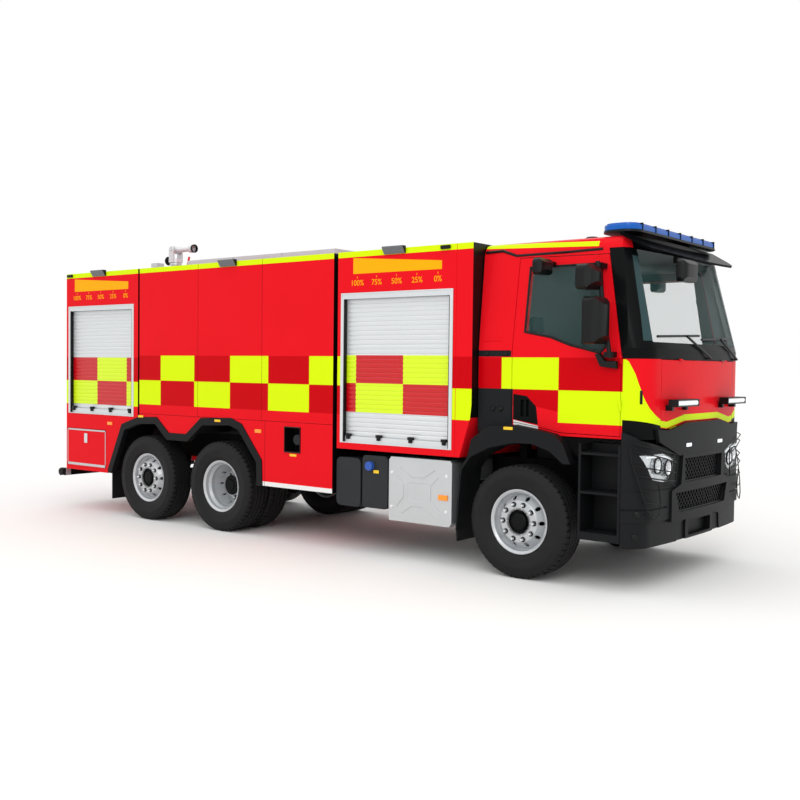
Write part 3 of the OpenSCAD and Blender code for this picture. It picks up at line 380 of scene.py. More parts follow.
def cab_marks(place: Place) -> list[Region]:
    """Mark the cab and its doors: squares, dark screen surround, a teal-grey band of painted glass reflection
    beside the screen, roof stripe and garnish.

    Args:
        place: the shaded point.

    Returns:
        The areas, the later ones on top.
    """
    x, z = place.x, place.z
    top, middle, rear_edge, front_edge = 2.063, 1.766, -0.248, 0.364
    ahead = x.above(1.0)
    side = place.side.above(1.10) * x.below(1.0)
    upper = z.between(middle, top) * side
    crease = (x - 0.143).do("MAXIMUM", 0.0) * -0.18 + 1.607
    lower = z.below(middle) * z.above(crease) * side
    corner = (z * 0.1887 + 0.760) - ((z - 1.514) * -14.3).do("EXPONENT") * 0.21
    foot = (place.side - 0.65) * 0.18 + 1.43
    surround = x.above((z - 2.11) * -0.191 + 0.985) * z.between(2.056, 3.04)
    header = x.above(0.80) * z.above(3.03) * place.side.below(0.95)
    # a band beside the screen's edge, painted teal grey on the opaque pillar as a painted reflection of glass
    glass = (z - 2.205) * -0.103 + 0.985
    painted_glass_band = z.between(2.215, 2.97) * x.above(0.70) * place.side.between(glass, glass + 0.085)
    fall = (x + 0.529) * -0.040
    stripe = z.between(fall + 3.111, fall + 3.157) * x.below(0.70) * place.side.above(0.9)
    panel = place.inside([(-0.115, 1.721), (0.032, 1.704), (0.134, 1.611), (0.156, 1.442), (-0.115, 1.481)])
    strip = place.inside([(-0.11, 1.477), (0.156, 1.43), (0.157, 1.389), (-0.11, 1.435)])
    return [Region(upper * x.above(front_edge), Shade.DARK_RED),
            Region(upper * x.below(rear_edge), Shade.DARK_RED),
            Region(lower * x.between(-0.13, front_edge), Shade.DARK_RED),
            Region(upper * x.between(rear_edge, front_edge), Shade.LIME, FOIL),
            Region(z.between(1.47, middle) * side * x.above(front_edge), Shade.LIME, FOIL),
            Region(ahead * z.below(2.05) * place.side.above(corner), Shade.LIME, FOIL),
            Region(ahead * z.below(foot), Shade.BLACK, MOULDED),
            Region(surround, Shade.BLACK, LACQUER),
            Region(header, Shade.BLACK, LACQUER),
            Region(surround * painted_glass_band, Shade.SCREEN_EDGE, 0.06),
            Region(stripe, Shade.LIME, FOIL),
            Region(side * x.below(-0.145) * z.between(2.07, 2.13), Shade.GREY, GARNISH),
            Region(side * x.below(-0.12) * z.below(1.767), Shade.GREY, GARNISH),
            Region(side * panel, Shade.BLACK, MOULDED),
            Region(side * strip, Shade.WHITE, FOIL)]


def tail_marks(place: Place) -> list[Region]:
    """Return the amber outer third and the white inner third of a tail lamp."""
    return [Region(place.side.above(1.10), Shade.AMBER, LENS),
            Region(place.side.below(1.02), Shade.WHITE, LENS)]


def flap_marks(place: Place) -> list[Region]:
    """Return the lime stripe that follows the lower edge of the front flap."""
    edge = place.side.ramp(0.40, 0.75) * -0.163 + place.side.ramp(0.75, 0.86) * 0.109 + 1.492
    return [Region(place.z.between(edge + 0.008, edge + 0.065), Shade.LIME, FOIL)]


# two-pack enamel, sprayed and polished: a soft reflection over a clean red
RED = Finish("signal_red_enamel", Shade.SIGNAL_RED.value, 0.3, ior=1.12, coat=0.04, drift=0.03,
             grain_depth_mm=0.01)
TANK_RED = replace(RED, name="tank_side_enamel", marks=tank_marks)
REAR_RED = replace(RED, name="rear_side_enamel", marks=rear_marks)
CAB_RED = replace(RED, name="cab_enamel", roughness=0.28, marks=cab_marks)
FLAP_RED = replace(RED, name="flap_enamel", roughness=0.28, marks=flap_marks)
# satin chassis paint over rolled steel: dark, slightly uneven
CHASSIS = Finish("chassis_paint_satin", "#0B0C0D", 0.5, ior=1.2, drift=0.15, drift_mm=180, grain_mm=6,
                 grain_depth_mm=0.1)
# sand-cast iron left dull: grey, rough to the eye
CAST = Finish("cast_iron", "#2A2C2E", 0.65, metallic=0.4, drift=0.2, drift_mm=90, grain_mm=3,
              grain_depth_mm=0.25)
# baked silver wheel paint: bright, a little milky
WHEEL_SILVER = Finish("silver_wheel_paint", "#B9BCBF", 0.36, metallic=0.35, coat=0.2, drift=0.05,
                      drift_mm=120)
# chromed nut caps and lamp bowls: small sharp highlights
CHROME = Finish("chrome_plate", "#E4E6E8", 0.12, metallic=1.0, drift=0.02)
# tread rubber: dusty black with a soft sheen
RUBBER = Finish("tread_rubber_compound", "#161617", 0.65, ior=1.3, drift=0.2, drift_mm=70, grain_mm=4,
                grain_depth_mm=0.06)
# grained polypropylene of bumper, steps and guards: matt and nearly black
GRAINED = Finish("grained_polypropylene", "#101113", 0.5, ior=1.24, drift=0.08, drift_mm=250, grain_mm=3,
                 grain_depth_mm=0.12)
# moulded black plastic: smooth, with a low sheen
BLACK = Finish("moulded_black_plastic", "#08090A", 0.36, ior=1.3, drift=0.08, drift_mm=150,
               grain_depth_mm=0.05)
# rotation-moulded tank plastic: dark grey, softly mottled
TANK_GREY = Finish("rotomoulded_polyethylene", "#1F2225", 0.5, ior=1.35, drift=0.1, drift_mm=140,
                   grain_mm=5, grain_depth_mm=0.2)
# mill-finish aluminium sheet drawn along the truck: fine streaks
ALUMINIUM = Finish("mill_aluminium", "#C3C6C8", 0.38, metallic=0.75, drift=0.05, drift_mm=220,
                   grain_mm=5, grain_depth_mm=0.04, stretch=(0.05, 1.0, 1.0))
# anodised shutter slats: pale, even and satin
SLATS = Finish("anodised_slats", "#D2D5D7", 0.36, metallic=0.3, drift=0.03, grain_mm=5,
               grain_depth_mm=0.02, stretch=(0.05, 1.0, 1.0), marks=slat_marks)
# anodised channel round the shutters: a little more metallic than the slats
CHANNEL = Finish("anodised_channel", "#D3D6D8", 0.34, metallic=0.4, drift=0.03, grain_depth_mm=0.02)
# laminated screen with a thin green tint: clear enough to see through the cab
GLASS = Finish("tinted_screen_glass", "#4E7A76", 0.03, alpha=0.11, drift=0.0, grain_depth_mm=0.0)
# clear moulded lamp cover: all but unseen, apart from its gloss
CLEAR = Finish("clear_polycarbonate", "#E4ECEF", 0.04, alpha=0.14, drift=0.0, grain_depth_mm=0.0)
# vapour-coated reflector bowl: bright, faintly dimpled
REFLECTOR = Finish("aluminised_reflector", "#DDE0E3", 0.16, metallic=0.9, drift=0.04, grain_mm=12,
                   grain_depth_mm=0.3)
# smoked acrylic visor: nearly black, lets a little light through
SMOKE = Finish("smoked_acrylic", "#0A0B0D", 0.2, ior=1.04, alpha=0.96, drift=0.02, grain_depth_mm=0.0)
# blue beacon lens, moulded: saturated, with a hard gloss
BLUE = Finish("blue_polycarbonate", "#0A5AB4", 0.12, ior=1.3, coat=0.1, drift=0.04)
# amber and red lamp lenses, moulded: deep colour under a clear skin
AMBER = Finish("amber_lens", "#F08A10", 0.2, coat=0.4, glow=0.15)
RED_LENS = Finish("tail_lamp_lens", "#8E0A10", 0.2, coat=0.4, marks=tail_marks)
# yellow markers, moulded in colour: even and half matt
YELLOW = Finish("yellow_marker_plastic", "#F0C419", 0.4)
# moulded grey lamp bodies: even and half matt
LAMP_GREY = Finish("grey_lamp_housing", "#5F6366", 0.4, drift=0.04)
# white diodes behind a clear window: brighter than anything painted
LED_WHITE = Finish("white_diode_window", "#F2F6FA", 0.25, coat=0.4, glow=0.35)
# silvered mirror: a clean image of the sky
MIRROR = Finish("silvered_mirror", "#DCE3E6", 0.03, metallic=1.0, drift=0.0, grain_depth_mm=0.0)
# grained dash moulding: dark and dull, so that it doesn't mirror in the screen
DASH = Finish("grained_dash_moulding", "#33363A", 0.65, drift=0.06, grain_mm=3, grain_depth_mm=0.1)
# knitted cab lining: mid grey and matt
LINING = Finish("knitted_cab_lining", "#777C7E", 0.85, drift=0.06, grain_mm=5, grain_depth_mm=0.3)
# woven seat cloth: dark, threads drawn at 3 mm so that they show
CLOTH = Finish("woven_seat_cloth", "#2B2D33", 0.9, drift=0.12, drift_mm=25, grain_mm=3, grain_depth_mm=0.6)
# signal yellow foil of the level gauges: flat and even
GAUGE = Finish("gauge_foil", "#F7A900", 0.5, ior=1.2, drift=0.02)
# moulded filler cap: plain blue
BLUE_CAP = Finish("blue_cap_plastic", "#1E4FA8", 0.4)


class Tool(Enum):
    """Geometry trees that lay out what repeats or follows a path."""

    RING = "copies_on_a_circle"
    ROW = "copies_on_a_line"
    GRID = "copies_on_a_grid"
    BAR = "round_bar_on_a_path"


# the named inputs of each tree, beside the finish
SOCKETS = {
    Tool.RING: {"Stamp": "NodeSocketObject", "Count": "NodeSocketInt", "Radius": "NodeSocketFloat"},
    Tool.ROW: {"Stamp": "NodeSocketObject", "Count": "NodeSocketInt", "Step": "NodeSocketVector"},
    Tool.GRID: {"Stamp": "NodeSocketObject", "Across": "NodeSocketInt", "Up": "NodeSocketInt",
                "Width": "NodeSocketFloat", "Height": "NodeSocketFloat"},
    Tool.BAR: {"Geometry": "NodeSocketGeometry", "Radius": "NodeSocketFloat"},
}
# facets round a bar, and the angle up to which copies are shaded smooth
BAR_FACETS = 8
SMOOTH_DEGREES = 40


def tool_tree(tool: Tool) -> bpy.types.NodeTree:
    """Build the geometry tree of a tool once.

    Args:
        tool: what the tree lays out.

    Returns:
        The tree, with its sizes as named inputs.
    """
    tree = bpy.data.node_groups.get(tool.value)
    if tree:
        return tree
    tree = bpy.data.node_groups.new(tool.value, "GeometryNodeTree")
    for name, kind in {**SOCKETS[tool], "Finish": "NodeSocketMaterial"}.items():
        tree.interface.new_socket(name, in_out="INPUT", socket_type=kind)
    tree.interface.new_socket("Geometry", in_out="OUTPUT", socket_type="NodeSocketGeometry")
    given = add(tree, "NodeGroupInput").outputs
    if tool is Tool.BAR:
        path = add(tree, "GeometryNodeMeshToCurve", {0: given["Geometry"]}).outputs[0]
        ring = add(tree, "GeometryNodeCurvePrimitiveCircle",
                   {"Resolution": BAR_FACETS, "Radius": given["Radius"]})
        shape = add(tree, "GeometryNodeCurveToMesh", {"Curve": path, "Profile Curve": ring.outputs[0],
                                                      "Fill Caps": True}).outputs[0]
    else:
        if tool is Tool.RING:
            points = add(tree, "GeometryNodeMeshCircle",
                         {"Vertices": given["Count"], "Radius": given["Radius"]})
        elif tool is Tool.ROW:
            points = add(tree, "GeometryNodeMeshLine", {"Count": given["Count"], "Offset": given["Step"]})
        else:
            points = add(tree, "GeometryNodeMeshGrid", {
                "Size X": given["Width"], "Size Y": given["Height"],
                "Vertices X": given["Across"], "Vertices Y": given["Up"]})
        stamp = add(tree, "GeometryNodeObjectInfo", {"Object": given["Stamp"]}).outputs["Geometry"]
        inputs = {"Points": points.outputs[0], "Instance": stamp}
        if tool is Tool.RING:
            spot = add(tree, "GeometryNodeInputPosition").outputs[0]
            turned = add(tree, "FunctionNodeAlignRotationToVector", {"Vector": spot}, axis="X")
            inputs["Rotation"] = turned.outputs[0]
        shape = add(tree, "GeometryNodeInstanceOnPoints", inputs).outputs[0]
    real = add(tree, "GeometryNodeRealizeInstances", {0: shape}).outputs[0]
    dressed = add(tree, "GeometryNodeSetMaterial", {"Geometry": real, "Material": given["Finish"]}).outputs[0]
    add(tree, "NodeGroupOutput", {0: dressed})
    return tree


class Shape:
    """A mesh in the making, from blocks, prisms, turned profiles and laid sheets."""

    def __init__(self) -> None:
        """Start with nothing."""
        self.bm = bmesh.new()

    def block(self, low: Point, high: Point, round_mm: float = 3.0, turn: Matrix | None = None) -> "Shape":
        """Add a block with rounded edges.

        Args:
            low: its lowest corner.
            high: its highest corner.
            round_mm: radius of its edges.
            turn: placing applied after it is drawn.

        Returns:
            This shape.
        """
        low, high = Vector(low), Vector(high)
        place = Matrix.Translation((low + high) / 2) @ Matrix.Diagonal((*(high - low), 1.0))
        made = bmesh.ops.create_cube(self.bm, size=1.0, matrix=place)["verts"]
        edges = {e for v in made for e in v.link_edges}
        faces = {f for v in made for f in v.link_faces}
        if round_mm:
            cut = bmesh.ops.bevel(self.bm, geom=list(edges), offset=round_mm * MM, segments=2, profile=0.5,
                                  affect="EDGES", clamp_overlap=True)
            faces = {f for f in faces if f.is_valid} | set(cut["faces"])
        if turn:
            bmesh.ops.transform(self.bm, matrix=turn, verts=list({v for f in faces for v in f.verts}))
        return self

    def prism(self, outline: Sequence[Flat], low: float, high: float) -> "Shape":
        """Add an outline carried along Y.

        Args:
            outline: X and Z of each corner.
            low: where it starts.
            high: where it ends.

        Returns:
            This shape.
        """
        ends = [[self.bm.verts.new((x, y, z)) for x, z in outline] for y in (low, high)]
        faces = [self.bm.faces.new(ends[0]), self.bm.faces.new(ends[1])]
        count = len(outline)
        for i in range(count):
            j = (i + 1) % count
            faces.append(self.bm.faces.new((ends[0][i], ends[0][j], ends[1][j], ends[1][i])))
        bmesh.ops.recalc_face_normals(self.bm, faces=faces)
        return self

    def lathe(self, profile: Sequence[Flat], steps: int, place: Matrix) -> "Shape":
        """Add a turned form from a closed profile.

        Args:
            profile: radius and distance along the axis of each corner.
            steps: facets round the axis.
            place: where local Z, the axis, and the local origin go.

        Returns:
            This shape.
        """
        rings = []
        for radius, along in profile:
            spots = [(0.0, 0.0, along)] if radius < 1e-6 else [
                (radius * math.cos(math.tau * i / steps), radius * math.sin(math.tau * i / steps), along)
                for i in range(steps)]
            rings.append([self.bm.verts.new(place @ Vector(s)) for s in spots])
        faces = []
        for a, b in zip(rings, [*rings[1:], rings[0]]):
            if len(a) == len(b) == 1:
                continue
            for i in range(steps):
                j = (i + 1) % steps
                corners = [a[i % len(a)], a[j % len(a)], b[j % len(b)], b[i % len(b)]]
                faces.append(self.bm.faces.new(list(dict.fromkeys(corners))))
        bmesh.ops.recalc_face_normals(self.bm, faces=faces)
        return self

    def path(self, points: Sequence[Point], closed: bool = False) -> "Shape":
        """Add a chain of edges for a bar to follow.

        Args:
            points: the corners in their order.
            closed: whether the last one joins the first.

        Returns:
            This shape.
        """
        spots = [self.bm.verts.new(p) for p in points]
        for a, b in zip(spots, spots[1:] + ([spots[0]] if closed else [])):
            self.bm.edges.new((a, b))
        return self

    def sheet(self, outline: Sequence[Flat], station: Callable[[float], float],
              step: float = 0.05) -> "Shape":
        """Lay an outline of the front view on a bowed nose.

        Args:
            outline: distance from the middle and height of each corner.
            station: the nose's station at a distance from the middle.
            step: width of the strips that take up the bow.

        Returns:
            This shape.
        """
        face = self.bm.faces.new([self.bm.verts.new((0.0, y, z)) for y, z in outline])
        low, high = min(p[0] for p in outline), max(p[0] for p in outline)
        geom = [face, *face.verts, *face.edges]
        for i in range(1, int((high - low) / step)):
            geom = bmesh.ops.bisect_plane(self.bm, geom=geom, plane_co=(0, low + i * step, 0),
                                          plane_no=(0, 1, 0))["geom"]
        for v in {v for v in geom if isinstance(v, bmesh.types.BMVert)}:
            v.co.x = AXLE_X + station(v.co.y)
        return self

    def mesh(self, name: str, angle: float = 38.0) -> bpy.types.Mesh:
        """Finish the shape as a mesh.

        Args:
            name: name of the mesh.
            angle: degrees between faces up to which it is shaded smooth.

        Returns:
            The mesh.
        """
        made = bpy.data.meshes.new(name)
        self.bm.to_mesh(made)
        self.bm.free()
        made.polygons.foreach_set("use_smooth", [True] * len(made.polygons))
        made.set_sharp_from_angle(angle=math.radians(angle))
        return made


def plain(piece: bpy.types.Object) -> bpy.types.Mesh:
    """Return an object's shape, with its modifiers applied, as a new mesh."""
    return bpy.data.meshes.new_from_object(piece.evaluated_get(bpy.context.evaluated_depsgraph_get()))


def lay(tool: Tool, name: str, finish: Finish, source: Shape, **sizes: float | int | Point) -> bpy.types.Mesh:
    """Run a geometry tool and return its result as a plain mesh.

    Args:
        tool: the tree to run.
        name: name of the mesh.
        finish: the finish of every copy.
        source: the piece that is copied, or the path that a bar follows.
        sizes: values of the tree's named inputs.

    Returns:
        The mesh.
    """
    tree = tool_tree(tool)
    stamp = bpy.data.objects.new(name + "_stamp", source.mesh(name + "_stamp"))
    host = stamp
    bpy.context.scene.collection.objects.link(stamp)
    if tool is not Tool.BAR:
        host = bpy.data.objects.new(name + "_host", bpy.data.meshes.new(name + "_host"))
        bpy.context.scene.collection.objects.link(host)
        sizes["Stamp"] = stamp
    modifier = host.modifiers.new("layout", "NODES")
    modifier.node_group = tree
    sizes["Finish"] = finish.material()
    for item in tree.interface.items_tree:
        if item.in_out == "INPUT" and item.name in sizes:
            modifier[item.identifier] = sizes[item.name]
    made = plain(host)
    made.name = name
    made.polygons.foreach_set("use_smooth", [True] * len(made.polygons))
    made.set_sharp_from_angle(angle=math.radians(SMOOTH_DEGREES))
    for spent in {stamp, host}:
        bpy.data.objects.remove(spent)
    return made


def fit(name: str, form: Shape | bpy.types.Mesh, finish: Finish, body: str,
        stands_for: Sequence[str] = ()) -> bpy.types.Object:
    """Make a form a piece of the truck.

    Args:
        name: name of the piece.
        form: its shape or its mesh, already in place.
        finish: its finish.
        body: the CAD body that carries it.
        stands_for: CAD nodes that it replaces.

    Returns:
        The new object.
    """
    mesh = form.mesh(name) if isinstance(form, Shape) else form
    piece = bpy.data.objects.new(name, mesh)
    bpy.context.scene.collection.objects.link(piece)
    mesh.materials.clear()
    mesh.materials.append(finish.material())
    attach(piece, body)
    if stands_for:
        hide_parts(*stands_for)
    log.info("%s on %s: %d faces", name, body, len(mesh.polygons))
    return piece


def bar(name: str, path: Shape, radius: float, finish: Finish, body: str,
        stands_for: Sequence[str] = ()) -> None:
    """Fit a round bar along a path.

    Args:
        name: name of the piece.
        path: the chain of edges that it follows.
        radius: half its thickness.
        finish: its finish.
        body: the CAD body that carries it.
        stands_for: CAD nodes that it replaces.
    """
    fit(name, lay(Tool.BAR, name, finish, path, Radius=radius), finish, body, stands_for)


def at(x: float, y: float, z: float) -> Vector:
    """Return a place from its station, distance to the left and height."""
    return Vector((AXLE_X + x, y, z))


def across(side: int, inner: float, outer: float) -> list[float]:
    """Return two distances from the middle as places on a side, the lower first."""
    return sorted((side * inner, side * outer))


def facing(side: int, x: float, y: float, z: float) -> Matrix:
    """Return the placing that turns local Z out of the truck on a side."""
    return Matrix.Translation(at(x, side * y, z)) @ Matrix.Rotation(-side * math.pi / 2, 4, "X")


def nose(y: float, front: float, half: float, corner: float) -> float:
    """Return the station of a bowed nose with rounded corners.

    Args:
        y: distance from the middle.
        front: station of the nose at the middle.
        half: half its width.
        corner: radius of its corners.

    Returns:
        The station there.
    """
    turn = math.asin((half - corner) / (BOW_R - corner))
    if abs(y) <= BOW_R * math.sin(turn):
        return front - BOW_R + math.sqrt(BOW_R ** 2 - y * y)
    centre = front - BOW_R + (BOW_R - corner) * math.cos(turn)
    return centre + math.sqrt(max(corner ** 2 - (abs(y) - half + corner) ** 2, 0.0))


class Spot(NamedTuple):
    """Middle of a CAD face, from the front axle, and the way it faces."""

    x: float
    y: float
    z: float
    normal: Vector


# distance within which a CAD mesh's corners are joined, angle up to which its faces make one flat
# face, and angle from which an edge is rounded
JOIN_GAP = 1e-5
FLAT_DEGREES = 0.5
EDGE_DEGREES = 32


@dataclass(frozen=True)
class Coat:
    """The finish of a CAD node, the faces of it that carry another one, and its edge rounding."""

    node: str
    finish: Finish
    others: tuple[tuple[Finish, Callable[[Spot], bool]], ...] = ()
    edge_mm: float = 0.0

    def apply(self) -> None:
        """Dress the node and round its edges."""
        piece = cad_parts[self.node]
        mesh = piece.data
        mesh.materials.clear()
        for finish in (self.finish, *(other[0] for other in self.others)):
            mesh.materials.append(finish.material())
        for face in mesh.polygons:
            c = face.center
            spot = Spot(c.x - AXLE_X, c.y, c.z, face.normal)
            chosen = [i for i, (_, test) in enumerate(self.others, 1) if test(spot)]
            face.material_index = chosen[0] if chosen else 0
        if self.edge_mm:
            mesh.polygons.foreach_set("use_smooth", [True] * len(mesh.polygons))
            piece.modifiers.new("joined", "WELD").merge_threshold = JOIN_GAP
            flat = piece.modifiers.new("flat", "DECIMATE")
            flat.decimate_type = "DISSOLVE"
            flat.angle_limit = math.radians(FLAT_DEGREES)
            flat.delimit = {"MATERIAL"}
            edge = piece.modifiers.new("edges", "BEVEL")
            edge.width = self.edge_mm * MM
            edge.segments = 2
            edge.limit_method = "ANGLE"
            edge.angle_limit = math.radians(EDGE_DEGREES)
            edge.miter_outer = "MITER_ARC"
            piece.modifiers.new("shading", "WEIGHTED_NORMAL").keep_sharp = True
        log.info("%s coated with %s", self.node, self.finish.name)


def hub(radius: float, station: float) -> Callable[[Spot], bool]:
    """Return a test for faces within a radius of a wheel's axis."""
    return lambda s: math.hypot(s.x - station, s.z - TYRE_R) < radius and abs(s.normal.y) > 0.05


@dataclass
class Livery:
    """Every CAD node that stays in view, with its finish."""

    hub_radius: float = 0.125
    twin_hub_radius: float = 0.13

    def hatch(self, s: Spot) -> bool:
        """Tell whether a face lies inside a filling hatch."""
        return -3.012 < s.x < -2.773 and 1.004 < s.z < 1.283 and abs(s.y) < BODY_SIDE - 0.001

    def liner(self, s: Spot) -> bool:
        """Tell whether a face is inside a wheel arch or under the body."""
        return s.z < 1.4 and abs(s.y) < BODY_SIDE - 0.01 and -6.3 < s.x < -3.3

    def coupling(self, s: Spot) -> bool:
        """Tell whether a face belongs to the capped coupling in a hatch."""
        return math.hypot(s.x + 2.892, s.z - 1.14) < 0.06 and 1.08 < abs(s.y) < 1.185

    def rear_liner_and_gap_shade(self, s: Spot) -> bool:
        """Tell whether a face of the rear module is dark: its arch, and its front wall black as painted gap
        shade.
        """
        # the front wall faces the tank module and is painted black as the shade in the gap
        return self.liner(s) or (s.x > -5.62 and s.normal.x > 0.9)

    def tank_dark_and_gap_shade(self, s: Spot) -> bool:
        """Tell whether a face of the tank module is dark: hatches, arches, and end walls black as painted gap
        shade.
        """
        # end walls facing the next module: painted black as the shade in the gaps
        gap_shade_wall = abs(s.normal.x) > 0.9 and not -5.57 < s.x < -2.31
        return self.hatch(s) or self.liner(s) or gap_shade_wall

    def front_dark_and_gap_shade(self, s: Spot) -> bool:
        """Tell whether a face of the front module is dark: end walls black as painted shade of the gaps, and
        its foot.
        """
        # the end walls facing the cab and the tank module are painted black as the shade in the gaps
        return (s.x < -2.23 and s.normal.x < -0.9) or (s.x > -0.53 and s.normal.x > 0.9) or s.z < 1.1

    def inward(self, s: Spot) -> bool:
        """Tell whether a face looks towards the middle of the truck."""
        return s.normal.y * s.y < -0.3 * abs(s.y)

    def lined(self, s: Spot) -> bool:
        """Tell whether a face of the cab looks into its room.

        Args:
            s: the face.

        Returns:
            Whether it is lined.
        """
        room = abs(s.y) < 1.02 and s.x < 0.95 and s.z < 3.09 and s.normal.z > -0.95
        ceiling = s.z > 2.5 and s.normal.z < -0.5
        return s.z > 1.42 and (room or ceiling or self.inward(s))

    def mixed(self) -> list[Coat]:
        """List the coats of nodes that carry more than one finish.

        Returns:
            The coat of each node.
        """
        lenses = ((AMBER, lambda s: s.z < 2.0 and s.x > -7.0), (RED_LENS, lambda s: s.z < 2.0),
                  (BLACK, lambda s: abs(s.normal.x) > 0.9 or s.x < -6.9 or s.x > -1.0))
        tanks = ((BLUE_CAP, lambda s: s.y < -TANK_SIDE), (BLACK, lambda s: s.y > TANK_SIDE),
                 (CHASSIS, lambda s: abs(s.y) < 0.555))
        silvered = ((MIRROR, lambda s: s.normal.x < -0.95),)
        coats = [
            Coat("rear_module", REAR_RED, ((BLACK, self.rear_liner_and_gap_shade),), 3),
            Coat("front_module", TANK_RED, ((BLACK, self.front_dark_and_gap_shade),), 3),
            Coat("tank_module", TANK_RED, ((CAST, self.coupling), (BLACK, self.tank_dark_and_gap_shade)), 3),
            Coat("cab_shell", CAB_RED, ((LINING, self.lined),
                                        (BLACK, lambda s: s.z < 1.5 and s.normal.z < -0.3)), 3),
            Coat("shutter_curtains", SLATS, ((CHANNEL, lambda s: s.z < 1.36 and abs(s.normal.z) < 0.9),)),
            Coat("mudguards", GRAINED, ((RUBBER, lambda s: s.z < 0.38),), 3),
            Coat("side_tanks", TANK_GREY, tanks, 4),
            Coat("arch_trims", GRAINED, ((RUBBER, lambda s: abs(s.y) < 1.189),), 4),
            Coat("rear_bumper", CHASSIS, ((RUBBER, lambda s: abs(s.y) > 1.19),), 4),
            Coat("body_lamps", LAMP_GREY, lenses, 3),
            Coat("front_mirror", BLACK, silvered, 6),
            Coat("monitor_turret", CHANNEL, ((BLACK, lambda s: s.x < -6.54),), 2),
            Coat("monitor_barrel", CHANNEL, ((BLACK, lambda s: s.x > -6.03),))]
        for end in SIDES:
            coats += [Coat("door_" + end, CAB_RED, ((DASH, self.inward),), 3),
                      Coat("mirrors_" + end, BLACK, silvered, 6)]
        for key, station, radius in (("f", 0.0, self.hub_radius), ("t", TAG_X, self.hub_radius),
                                     ("d", DRIVE_X, self.twin_hub_radius)):
            dark = ((CHASSIS, hub(radius, station)),)
            coats += [Coat(f"rim_{key}{end}", WHEEL_SILVER, dark) for end in "lr"]
        return coats

    def single(self) -> list[Coat]:
        """List the coats of nodes with one finish, by the radius of their edges in millimetres.

        Returns:
            The coat of each node.
        """
        rounded = {
            "front_flap": (FLAP_RED, 3), "locker_flap_left": (RED, 2), "locker_flap_right": (RED, 2),
            "bumper": (GRAINED, 5), "exhaust_box": (ALUMINIUM, 5), "roof_deck": (ALUMINIUM, 2),
            "dashboard": (DASH, 6), "sun_visor": (SMOKE, 4), "lightbar_base": (BLACK, 3),
            "lightbar_lens": (BLUE, 5), "powertrain": (CAST, 6)}
        sharp = {
            "shutter_frames": CHANNEL, "headlamps": REFLECTOR, "cab_steps": GRAINED, "work_lamps": BLACK,
            "windscreen": GLASS, "door_glass_left": GLASS, "door_glass_right": GLASS, "frame": CHASSIS,
            "front_axle": CHASSIS, "drive_axle": CHASSIS, "tag_axle": CHASSIS, "knuckle_fl": CAST,
            "knuckle_fr": CAST, "knuckle_tl": CAST, "knuckle_tr": CAST}
        return [*(Coat(node, finish, edge_mm=edge) for node, (finish, edge) in rounded.items()),
                *(Coat(node, finish) for node, finish in sharp.items())]

    def dress(self) -> None:
        """Apply every coat."""
        for coat in (*self.mixed(), *self.single()):
            coat.apply()


class Axle(NamedTuple):
    """The wheels of one axle."""

    key: str
    node: str
    station: float
    tyres: tuple[float, ...]
    nut_face: float


